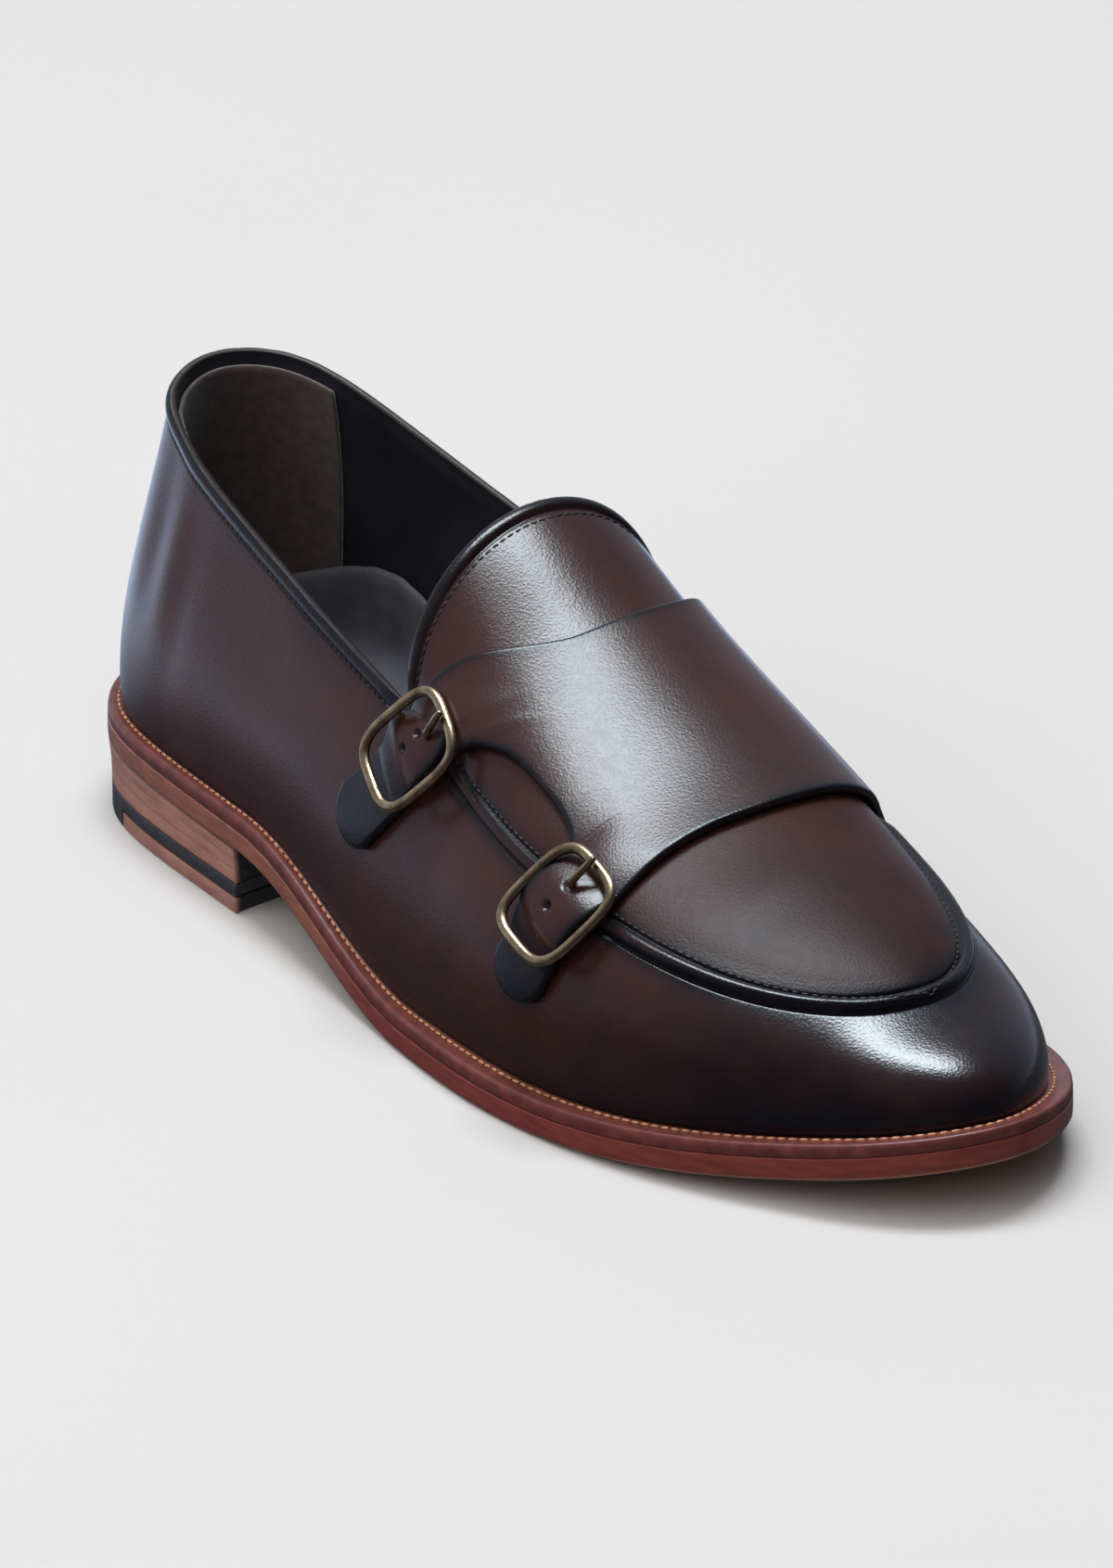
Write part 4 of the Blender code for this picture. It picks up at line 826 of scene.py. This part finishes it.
# Two rows of stitches hold the lower edge of the strap to the medial side
STRAP_STITCH = (2.2 * MM, 1.8 * MM, 0.6 * MM, 0.42 * MM)
run_u = np.linspace(0.035, 0.965, 300)
for number, deep in ((1, 0.30), (2, 0.62)):
    rear_row, rear_across, front_row, front_across, bow = open_curve(np.arange(len(stations)), stations, [deep])[0]
    rows = blend(rear_row, front_row, run_u)
    across = blend(rear_across, front_across, run_u) + bow * 4 * run_u * (1 - run_u)
    out = normals_at(rows, across)[0]
    line = upper_points(rows, across) + out * (STRAP_LIFT + STRAP_THICK + 0.05 * MM)
    stitch_run(f"strap_stitches_{number}", line, out, dark_thread.material, *STRAP_STITCH)

# ---------------------------------------------------------------- buckles
# Two antique brass buckles of cast round bar with rounded corners.  A thinner bar across
# the middle carries the prong and passes under the strap.

brass = Shader("antique_brass", (0.30, 0.21, 0.12), 0.30, Metallic=1.0)
age = brass.noise(260.0, 4.0)
brass.colour(brass.ramp(age, [(0.28, (0.13, 0.090, 0.058)), (0.5, (0.36, 0.26, 0.155)), (0.78, (0.55, 0.41, 0.25))]))
brass.colour(brass.range(age, 0.3, 0.7, 0.38, 0.20), "Roughness")
brass.bump([(brass.noise(800.0, 3.0), 0.12, 0.0002)])


def buckle_frame(name):
    """Middle of a buckle on the upper, with its directions: down the strap, sideways, out."""
    row, across, turn, tilt, _ = BRANCHES[name][4:]
    rows, line_across, distance = branch_line(name, np.linspace(0, 1, 200))
    middle = upper_points([row], [across])[0]
    line = upper_points(rows, line_across)
    back, front = (np.array([np.interp(place, distance, axis) for axis in line.T])
                   for place in (-BUCKLE_LENGTH / 2, BUCKLE_LENGTH / 2))
    down = (front - back) / np.linalg.norm(front - back)
    around = np.array([(-0.35, 0.15), (0.35, 0.15), (-0.35, -0.15), (0.35, -0.15)])
    out = normals_at(row + around[:, 0], across + around[:, 1])[0].mean(axis=0)
    out -= down * np.dot(out, down)
    out /= np.linalg.norm(out)
    side = np.cross(out, down)
    turn, tilt = np.radians(turn), np.radians(tilt)
    down = down * np.cos(turn) - side * np.sin(turn)
    side = np.cross(out, down)
    down = down * np.cos(tilt) + out * np.sin(tilt)
    return middle, down, side, np.cross(down, side)


def bar_along(path, wide, high, sides, closed):
    """Oval bar along a path; sizes may change along it.  The path's third axis is its height."""
    count = len(path)
    tangent = unit(np.roll(path, -1, axis=0) - np.roll(path, 1, axis=0) if closed else np.gradient(path, axis=0))
    across = unit(np.cross(tangent, (0.0, 0.0, 1.0)))
    rise = np.cross(across, tangent)
    angle = np.arange(sides) * 2 * np.pi / sides
    wide, high = np.broadcast_to(wide, count)[:, None, None], np.broadcast_to(high, count)[:, None, None]
    ring = (path[:, None] + across[:, None] * np.cos(angle)[None, :, None] * wide / 2
            + rise[:, None] * np.sin(angle)[None, :, None] * high / 2)
    faces = (grid_faces(count + closed, sides, True) % (count * sides)).tolist()
    if not closed:
        faces += [tuple(range(sides))[::-1], tuple(range((count - 1) * sides, count * sides))]
    return ring.reshape(-1, 3), faces


def in_frame(points, frame_of_buckle):
    middle, down, side, out = frame_of_buckle
    return middle + points[:, :1] * down + points[:, 1:2] * side + points[:, 2:3] * out


SQUARENESS, CORNERS = 3.6, 96             # squareness lies between an oval, 2, and a rectangle
BAR_WIDE, BAR_HIGH = 2.4 * MM, 1.95 * MM
PRONG_SUNK, PRONG_PAST_BAR = 1.6 * MM, 1.2 * MM
for name in BRANCHES:
    around_buckle = buckle_frame(name)
    tilt, lift = BRANCHES[name][7:]
    long_half, wide_half = (BUCKLE_LENGTH - BUCKLE_BAR) / 2, (BUCKLE_WIDTH - BUCKLE_BAR) / 2
    angle = np.linspace(0, 2 * np.pi, 721)
    turns = np.column_stack([np.cos(angle), np.sin(angle)])
    outline = (long_half, wide_half) * np.sign(turns) * np.abs(turns)**(2 / SQUARENESS)
    length = np.concatenate([[0], np.cumsum(np.linalg.norm(np.diff(outline, axis=0), axis=1))])
    even = np.arange(CORNERS) * length[-1] / CORNERS
    path = np.column_stack([np.interp(even, length, axis) for axis in outline.T] + [np.full(CORNERS, lift)])
    ring, ring_faces = bar_along(path, BAR_WIDE, BAR_HIGH, 20, True)
    across = np.linspace(-1.0, 1.0, 41)
    low = blend(lift, CENTRE_BAR_LIFT, smooth_step((1.0 - np.abs(across)) / 0.22))
    path = np.column_stack([across * 0, across * wide_half, low])
    bar, bar_faces = bar_along(path, CENTRE_BAR, CENTRE_BAR, 14, False)
    bar_faces = [tuple(index + len(ring) for index in face) for face in bar_faces]
    buckle = add_piece("buckle_" + name, in_frame(np.vstack([ring, bar]), around_buckle), ring_faces + bar_faces,
                       [brass.material])
    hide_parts("buckle_" + name)
    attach(buckle, "root")

    # The prong comes up through its hole and rests on the bar nearest the tongue
    start, end = -PRONG_START, -(long_half + PRONG_PAST_BAR)
    over_strap = float(strap_height(start)) + STRAP_THICK + PRONG / 2 + PRONG_START * np.tan(np.radians(tilt))
    over_bar = lift + BUCKLE_BAR / 2 + PRONG / 2 + SEAT
    run = np.linspace(0.0, 1.0, 40)
    rise = blend(over_strap, over_bar, np.minimum(run * 1.2, 1)) - PRONG_SUNK * (1 - smooth_step(run / 0.16))
    path = np.column_stack([blend(start, end, run), run * 0, rise])
    girth = PRONG * (1.06 - 0.22 * run) * np.sqrt(1 - np.clip((run - 0.93) / 0.07, 0, 0.97)**2)
    prong_points, prong_faces = bar_along(path, girth, girth, 14, False)
    prong = add_piece("prong_" + name, in_frame(prong_points, around_buckle), prong_faces, [brass.material])
    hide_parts("prong_" + name)
    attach(prong, "root")

# ---------------------------------------------------------------- welt
# A strip of tan leather stitched right round between the upper and the outsole, its edge
# stained dark red like the sole's.  Heavy orange thread shows along its top.

PLAN_COUNT = 480
PLAN_ROWS = np.arange(PLAN_COUNT) * ROUND / PLAN_COUNT


def loop_at(inset, height):
    """Closed loop of the sole's outline, drawn in by an inset, at a height over its underside."""
    edge, outward = sole_edge(PLAN_ROWS)
    plan = edge - outward * np.broadcast_to(inset, PLAN_COUNT)[:, None]
    return np.column_stack([plan, sole_bottom(plan[:, 0]) + height])


def stacked_loops(loops, joined=False):
    """Faces between closed loops of points, each to the next and, if joined, last to first."""
    count = len(loops[0])
    return (grid_faces(len(loops) + joined, count, True) % (len(loops) * count)).tolist()


def capped(loops):
    """Stacked loops whose bottom and top are closed with strips across the shoe."""
    count, faces = len(loops[0]), stacked_loops(loops)
    for base, turn in ((0, -1), ((len(loops) - 1) * count, 1)):
        for place in range(count // 2):
            strip = (place, place + 1, (count - place - 1) % count, (count - place) % count)
            faces.append(tuple(base + index for index in dict.fromkeys(strip))[::turn])
    return faces


welt_leather = Shader("welt_leather", (0.15, 0.05, 0.025), 0.4, Specular_IOR_Level=0.35)
welt_top = welt_leather.tones(180.0, 4.0, (0.080, 0.026, 0.013), (0.160, 0.055, 0.024))
welt_side = welt_leather.tones(300.0, 3.0, (0.045, 0.0095, 0.0075), (0.085, 0.018, 0.013))
welt_leather.colour(welt_leather.mix(welt_leather.number("side"), welt_top, welt_side))
welt_leather.bump([(welt_leather.noise(900.0, 3.0), 0.25, 0.0002)])
show = welt_show(PLAN_ROWS)
low, high = OUTSOLE + SEAT, OUTSOLE + WELT
WELT_EDGE, THREAD_LINE, THREAD_GROOVE = 1.3 * MM, 0.70, 0.25 * MM
# Up the outer edge, over the top with the groove for its thread, and down inside the upper
loops, side = [], []
for inset, height in ((0.18, low - 0.2 * MM), (0.08, low + 0.1 * MM), (0.08, low + 1.1 * MM),
                      (0.25, high - 0.5 * MM), (0.5, high - 0.15 * MM), (0.9, high), (1.3, high)):
    loops.append(loop_at(inset * MM, height))
    side.append(1.0)
for part, sink in ((0.55, 0.0), (0.64, 0.6), (THREAD_LINE, 1.0), (0.76, 0.6), (0.84, 0.0)):
    loops.append(loop_at(blend(WELT_EDGE, show, part), high - sink * THREAD_GROOVE))
    side.append(0.9 - 0.9 * sink)
loops += [loop_at(show + UPPER_WALL, high), loop_at(show + UPPER_WALL, low)]
side += [0.0, 1.0]
welt = add_piece("welt", np.vstack(loops), stacked_loops(loops, True), [welt_leather.material],
                 None, {"side": np.repeat(side, PLAN_COUNT)})
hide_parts("welt")
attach(welt, "root")

WELT_STITCH = (2.4 * MM, 2.0 * MM, 0.75 * MM, 0.6 * MM)
orange_thread = flecked("orange_thread", 0.6, (500.0, 3.0, (0.17, 0.062, 0.028), (0.32, 0.135, 0.060)),
                        (2600.0, 2.0, 0.4, 0.00015))
thread_path = loop_at(blend(WELT_EDGE, show, THREAD_LINE), high)
thread_path = np.vstack([thread_path, thread_path[:1]])
upwards = np.tile((0.0, 0.0, 1.0), (len(thread_path), 1))
stitch_run("welt_stitches", thread_path, upwards, orange_thread.material, *WELT_STITCH)

# ---------------------------------------------------------------- outsole
# Oak-tanned leather, its edge trimmed square, stained red-brown and waxed; natural tan
# below.  It's flat under the ball, rises a little at the toe and runs back over the heel.

sole_leather = Shader("sole_leather", (0.10, 0.016, 0.011), 0.30, Specular_IOR_Level=0.55)
stain = sole_leather.tones(160.0, 4.0, (0.080, 0.0125, 0.0085), (0.130, 0.022, 0.015), (1, 1, 5))
waist_stain = sole_leather.tones(160.0, 4.0, (0.11, 0.034, 0.020), (0.17, 0.058, 0.034), (1, 1, 5))
natural = sole_leather.tones(90.0, 5.0, (0.36, 0.20, 0.11), (0.52, 0.33, 0.20))
edge_tone = sole_leather.mix(sole_leather.number("waist"), stain, waist_stain)
sole_leather.colour(sole_leather.mix(sole_leather.number("under"), edge_tone, natural))
sole_leather.bump([(sole_leather.noise(700.0, 3.0, (1, 1, 6)), 0.25, 0.0002)])
# The edge from the bottom up, in millimetres: inset, height, and how much bare leather shows
EDGE = np.array([
    (3.0, 0.0, 1.0), (1.2, 0.02, 1.0), (0.7, 0.15, 0.7), (0.3, 0.45, 0.2), (0.05, 0.9, 0), (0.0, 1.6, 0),
    (0.0, 3.2, 0), (0.02, 4.6, 0), (0.06, 4.92, 0), (0.16, 5.0, 0), (1.0, 5.0, 0)])
loops = [loop_at(inset * MM, height * MM) for inset, height, _ in EDGE]
sole_points = np.vstack(loops)
waist = smooth_step((0.005 - sole_points[:, 0]) / 0.03)
outsole = add_piece("outsole", sole_points, capped(loops), [sole_leather.material],
                    None, {"under": np.repeat(EDGE[:, 2], PLAN_COUNT), "waist": waist})
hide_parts("outsole")
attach(outsole, "root")

# ---------------------------------------------------------------- heel
# Lifts of tan leather glued and trimmed together, then a black rubber lift that is thick
# at the back and lies over a leather tip at the front, all nailed through.

TIP_THICK, RUBBER_THICK, TIP_BACK_X = 3.5 * MM, 6.7 * MM, -118.0 * MM + SHIFT[0]
HEEL_INSET, BREAST_HOLLOW, BACK_POINTS, BREAST_POINTS = 0.8 * MM, 4.0 * MM, 161, 40


def heel_outline(inset):
    """Plan of a heel lift: round the back from one side to the other and a curved breast."""
    rows = np.linspace(0.0, 8.0, 801)
    crossed = []
    for side in (-1, 1):
        edge, outward = sole_edge(side * rows)
        crossed.append(side * rows[np.argmax((edge - outward * inset)[:, 0] > BREAST_X)])
    edge, outward = sole_edge(np.linspace(*crossed, BACK_POINTS))
    back = edge - outward * inset
    back[0, 0] = back[-1, 0] = BREAST_X
    across = np.linspace(0.0, 1.0, BREAST_POINTS + 2)[1:-1]
    curve = BREAST_X - BREAST_HOLLOW * np.sin(np.pi * across)**0.8
    breast = np.column_stack([curve, blend(back[-1, 1], back[0, 1], across)])
    return np.vstack([back, breast])


def drawn_in(plan, inset):
    """The same plan with every side moved in by a small distance."""
    run = unit(unit(np.roll(plan, -1, axis=0) - plan) + unit(plan - np.roll(plan, 1, axis=0)))
    return plan + np.column_stack([-run[:, 1], run[:, 0]]) * inset


def flat_cap(plans):
    return tuple(range((len(plans) - 1) * len(plans[0]), len(plans) * len(plans[0])))


def heel_block(name, plans, values):
    """Closed block of heel leather from plans of points stacked upwards."""
    faces = stacked_loops(plans) + [tuple(range(len(plans[0])))[::-1], flat_cap(plans)]
    return add_piece(name, np.vstack(plans), faces, [heel_leather.material], None, values)


heel_leather = Shader("heel_leather", (0.28, 0.10, 0.055), 0.36, Specular_IOR_Level=0.4)
lift_tone = heel_leather.tones(120.0, 3.0, (0.185, 0.078, 0.058), (0.262, 0.122, 0.092), (1, 1, 4))
joint = heel_leather.mix(heel_leather.number("joint"), lift_tone, (0.05, 0.018, 0.012))
heel_leather.colour(heel_leather.mix(heel_leather.number("breast"), joint, (0.012, 0.009, 0.010)))
heel_leather.bump([(heel_leather.noise(600.0, 3.0, (1, 1, 8)), 0.25, 0.0002)])
# Three lifts, each with its edges eased a little: part of its height, then inset
LIFT_JOINTS, EASED, FLARE = (0.0, 0.36, 0.70, 1.0), 0.07, 0.65 * MM
plans, joints = [], []
for low_joint, high_joint in zip(LIFT_JOINTS, LIFT_JOINTS[1:]):
    for part, inset in ((0.0, EASED), (0.06, 0.01), (0.3, 0.0), (0.7, 0.0), (0.94, 0.01), (1.0, EASED)):
        level = blend(low_joint, high_joint, part)
        plan = heel_outline(HEEL_INSET - FLARE * level**2 + inset * MM)
        height = blend(RUBBER_THICK + SEAT, sole_bottom(plan[:, 0]) - SEAT, level)
        plans.append(np.column_stack([plan, height]))
        joints.append(0.45 * inset / EASED)
breast = np.tile(np.arange(len(plan)) >= BACK_POINTS, len(plans)).astype(float)
heel_stack = heel_block("heel_stack", plans, {"joint": np.repeat(joints, len(plan)), "breast": breast})
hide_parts("heel_stack")
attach(heel_stack, "root")

# The plan cut in two across the heel: the tip lies in front of the cut
plan = heel_outline(HEEL_INSET)
behind_cut = np.flatnonzero(plan[:, 0] <= TIP_BACK_X)
before, after = behind_cut[0] - 1, behind_cut[-1] + 1
cut = []
for in_front, back_one in ((before, behind_cut[0]), (after, behind_cut[-1])):
    part = (TIP_BACK_X - plan[in_front, 0]) / (plan[back_one, 0] - plan[in_front, 0])
    cut.append(blend(plan[in_front], plan[back_one], part))
cut = np.array(cut)

tip_plan = np.vstack([plan[:before + 1], cut + (SEAT, 0.0), plan[after:]])
plans = [np.column_stack([drawn_in(tip_plan, inset * MM), np.full(len(tip_plan), height * MM)])
         for height, inset in ((0.0, 0.3), (0.12, 0.1), (0.4, 0.0), (3.0, 0.0), (3.35, 0.02), (3.5, 0.1))]
joints = [0.0, 0.0, 0.0, 0.0, 0.0, 0.6]
breast = (tip_plan[:, 0] < BREAST_X - 0.2 * MM) & (np.arange(len(tip_plan)) >= len(tip_plan) - BREAST_POINTS)
heel_tip = heel_block("heel_tip", plans, {"joint": np.repeat(joints, len(tip_plan)),
                                          "breast": np.tile(breast, len(plans)).astype(float)})
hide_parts("heel_tip")
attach(heel_tip, "root")

rubber = flecked("heel_rubber", 0.55, (700.0, 4.0, (0.013, 0.013, 0.016), (0.028, 0.027, 0.032)),
                 (1800.0, 3.0, 0.3, 0.00012))
back_cut = cut - (0.15 * MM, 0.0)
rubber_plan = np.vstack([plan[:before + 1], cut[:1], back_cut[:1], plan[behind_cut], back_cut[1:], cut[1:],
                         plan[after:]])
count = len(rubber_plan)
first, last = before + 2, before + 3 + len(behind_cut)      # the points that reach the floor
underside = np.full(count, TIP_THICK + SEAT)
underside[first:last + 1] = 0.0
plans = [np.column_stack([drawn_in(rubber_plan, inset * MM), blend(underside, RUBBER_THICK, part)])
         for part, inset in ((0.0, 0.3), (0.03, 0.1), (0.08, 0.0), (0.92, 0.0), (0.97, 0.03), (1.0, 0.12))]
faces = stacked_loops(plans) + [flat_cap(plans), tuple(range(first, last + 1))[::-1],
                                (tuple(range(last + 1, count)) + tuple(range(first)))[::-1],
                                (first - 1, first, last, last + 1)[::-1]]
heel_rubber = add_piece("heel_rubber", np.vstack(plans), faces, [rubber.material])
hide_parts("heel_rubber")
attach(heel_rubber, "root")

# ---------------------------------------------------------------- insole
# A black leather sock pasted over the insole, the floor of the shoe inside.  Over it a
# foam-backed sock of the same leather is cupped up round the heel and the arch.

sock = Shader("insole_sock", (0.05, 0.047, 0.053), 0.6, Specular_IOR_Level=0.3)
sock.colour(sock.tones(110.0, 4.0, (0.036, 0.034, 0.039), (0.056, 0.053, 0.060)))
sock.bump([(sock.cells(1100.0), 0.4, 0.00015), (sock.noise(500.0, 4.0), 0.3, 0.0002)])
show_inside = show + UPPER_WALL + 0.6 * MM
profile = [(0.0, SEAT), (0.0, 4.3 * MM), (0.25 * MM, 4.65 * MM), (0.7 * MM, 4.8 * MM)]
loops = [loop_at(show_inside + inset, OUTSOLE + height) for inset, height in profile]
insole = add_piece("insole", np.vstack(loops), capped(loops), [sock.material])
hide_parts("insole")
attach(insole, "root")

# The padded sock's rim: x and height along the shoe, in millimetres
RIM = [(-150, 40), (-140, 40), (-122, 46), (-112, 48.5), (-103, 49), (-94, 47), (-80, 40), (-65, 30),
       (-55, 26), (-40, 19), (-25, 12)]
SOCK_THICK, SOCK_GAP, SOCK_SWEEP, RIM_ROUND = 1.6 * MM, 1.3 * MM, 11 * MM, 0.35 * MM
WALL_STEPS = np.linspace(0.0, 1.0, 61)
rim_x, rim_z = (np.array(RIM, dtype=float) * MM).T
wall_table = np.stack([wall_points(PLAN_ROWS, step) for step in WALL_STEPS])
low_x, middle_x = wall_table[6, :, 0], wall_table[20, :, 0]       # a tenth and a third of the way up
floor_top = sole_bottom(low_x) + OUTSOLE + 5.0 * MM
rim_top = np.maximum(np.interp(middle_x, rim_x + SHIFT[0], rim_z), floor_top + 2.2 * MM)


def inside_wall(height, gap):
    """Closed loop round the inside of the upper at a height, held off its wall by a gap."""
    steps = np.array([np.interp(z, wall[:, 2], WALL_STEPS) for z, wall in zip(height, wall_table.swapaxes(0, 1))])
    here = wall_points(PLAN_ROWS, steps)
    run = (np.roll(here, -1, axis=0) - np.roll(here, 1, axis=0))[:, :2]
    outward = unit(np.column_stack([run[:, 1], -run[:, 0]]))
    return np.column_stack([here[:, :2] - outward * (UPPER_WALL + gap), height])


loops = []
for gap, parts in ((SOCK_GAP, (0.02, 0.3, 0.6, 0.85, 0.97)), (SOCK_GAP + SOCK_THICK, (0.96, 0.85, 0.7, 0.55, 0.4))):
    loops += [inside_wall(blend(floor_top, rim_top, part), gap) for part in parts]
loops.insert(5, inside_wall(rim_top + RIM_ROUND, SOCK_GAP + SOCK_THICK * 0.5))
wall_foot = loops[-1]
flat = loop_at(show_inside + SOCK_SWEEP, OUTSOLE + 5.0 * MM + SOCK_THICK)
corner = np.column_stack([wall_foot[:, :2], flat[:, 2]])
loops += [wall_foot * (1 - t)**2 + corner * 2 * t * (1 - t) + flat * t * t
          for t in (0.15, 0.3, 0.45, 0.6, 0.75, 0.9, 1.0)]
padded_sock = add_piece("padded_sock", np.vstack(loops), capped(loops), [sock.material])
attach(padded_sock, "root")

# ---------------------------------------------------------------- studio
# A plain pale floor under one wide soft box, with a faint light from the ceiling all round
# and pale walls behind.  None of this belongs to the shoe.

bpy.ops.mesh.primitive_plane_add(size=8.0, location=(0, 0, 0))
floor = bpy.context.object
floor.name = "floor"
paper = Shader("studio_floor", (0.30, 0.28, 0.265), 0.85, Specular_IOR_Level=0.0)
paper.colour(paper.tones(3.0, 2.0, (0.2975, 0.2685, 0.2510), (0.3035, 0.2745, 0.2570)))
floor.data.materials.append(paper.material)

# The camera stands to the outer front side of the shoe and looks down on it
turn = np.radians(53.3)
right = Vector((np.cos(turn), np.sin(turn), 0.0))
ahead = Vector((-np.sin(turn), np.cos(turn), 0.0))


def soft_box(name, side, forward, up, size, power, colour, seen):
    """A soft light four metres away and aimed at the shoe, placed as the camera sees it."""
    light = bpy.data.lights.new(name, "AREA")
    light.shape, light.energy, light.color = "RECTANGLE", power, colour
    light.size, light.size_y = size
    lamp = bpy.data.objects.new(name, light)
    place = (right * side + ahead * forward + Vector((0, 0, up))) * 4.0
    back = place.normalized()
    level = (right - back * right.dot(back)).normalized()
    lamp.matrix_world = Matrix((level, back.cross(level), back)).transposed().to_4x4()
    lamp.location = place
    lamp.visible_glossy = seen
    bpy.context.scene.collection.objects.link(lamp)


# One wide box straight overhead, and the white ceiling's light, too faint to mirror
soft_box("overhead_box", -0.03, 0.18, 0.98, (2.3, 1.05), 295.0, (0.82, 0.935, 1.0), True)
soft_box("ceiling", -0.35, -0.45, 0.82, (6.0, 6.0), 390.0, (0.90, 0.955, 1.0), False)

# A glowing blue-grey card on the floor, a light that only the gloss picks up: dark before the shoe, bright behind
bpy.ops.mesh.primitive_plane_add(size=8.0, location=(0, 0, 0.4 * MM), rotation=(0, 0, turn))
card = bpy.context.object
card.name = "reflected_card"
tone = Shader("reflected_card", (0.0, 0.0, 0.0), 1.0, Specular_IOR_Level=0.0, Emission_Strength=3.0)
run = add_node(tone.tree, "ShaderNodeSeparateXYZ", {"Vector": tone.place})
across_card = tone.sum(run["Y"], tone.sum(run["X"], -0.35, "MULTIPLY"))
blue_grey = tone.ramp(tone.range(across_card, 0.0, 1.2), [
    (0.0, (0.030, 0.032, 0.037)), (0.14, (0.045, 0.050, 0.062)), (0.26, (0.48, 0.58, 0.76)),
    (0.36, (0.36, 0.43, 0.57)), (0.6, (0.20, 0.24, 0.32)), (0.85, (0.05, 0.06, 0.07))])
tone.colour(blue_grey, "Emission Color")
card.data.materials.append(tone.material)
card.visible_camera = card.visible_diffuse = card.visible_shadow = card.visible_transmission = False

# Pale walls behind and to the left, a dark room behind the camera
world = bpy.data.worlds.new("studio")
world.use_nodes = True
sky = world.node_tree
where = add_node(sky, "ShaderNodeTexCoord")["Generated"]
toward = (ahead * 0.85 - right * 0.5).normalized()
facing = add_node(sky, "ShaderNodeVectorMath", {0: where, 1: toward}, operation="DOT_PRODUCT")["Value"]
facing = add_node(sky, "ShaderNodeMapRange", {"Value": facing, "From Min": -1.0})["Result"]
wall = add_node(sky, "ShaderNodeValToRGB", {"Fac": facing})["Color"]
dark_end, bright_end = wall.node.color_ramp.elements
dark_end.position, dark_end.color = 0.30, (0.05, 0.05, 0.06, 1.0)
bright_end.position, bright_end.color = 0.95, (0.58, 0.64, 0.75, 1.0)
sky.links.new(wall, sky.nodes["Background"].inputs["Color"])
bpy.context.scene.world = world
bpy.context.scene.view_settings.view_transform = "Standard"

camera_data = bpy.data.cameras.new("camera")
camera_data.sensor_width, camera_data.lens = 36.0, 256.0
camera = bpy.data.objects.new("camera", camera_data)
camera.location = (1.76714, -1.20222, 0.93652)
aim = Vector((0.0, 0.0, 0.043)) - camera.location
camera.rotation_euler = aim.to_track_quat("-Z", "Y").to_euler()
bpy.context.scene.collection.objects.link(camera)
bpy.context.scene.camera = camera
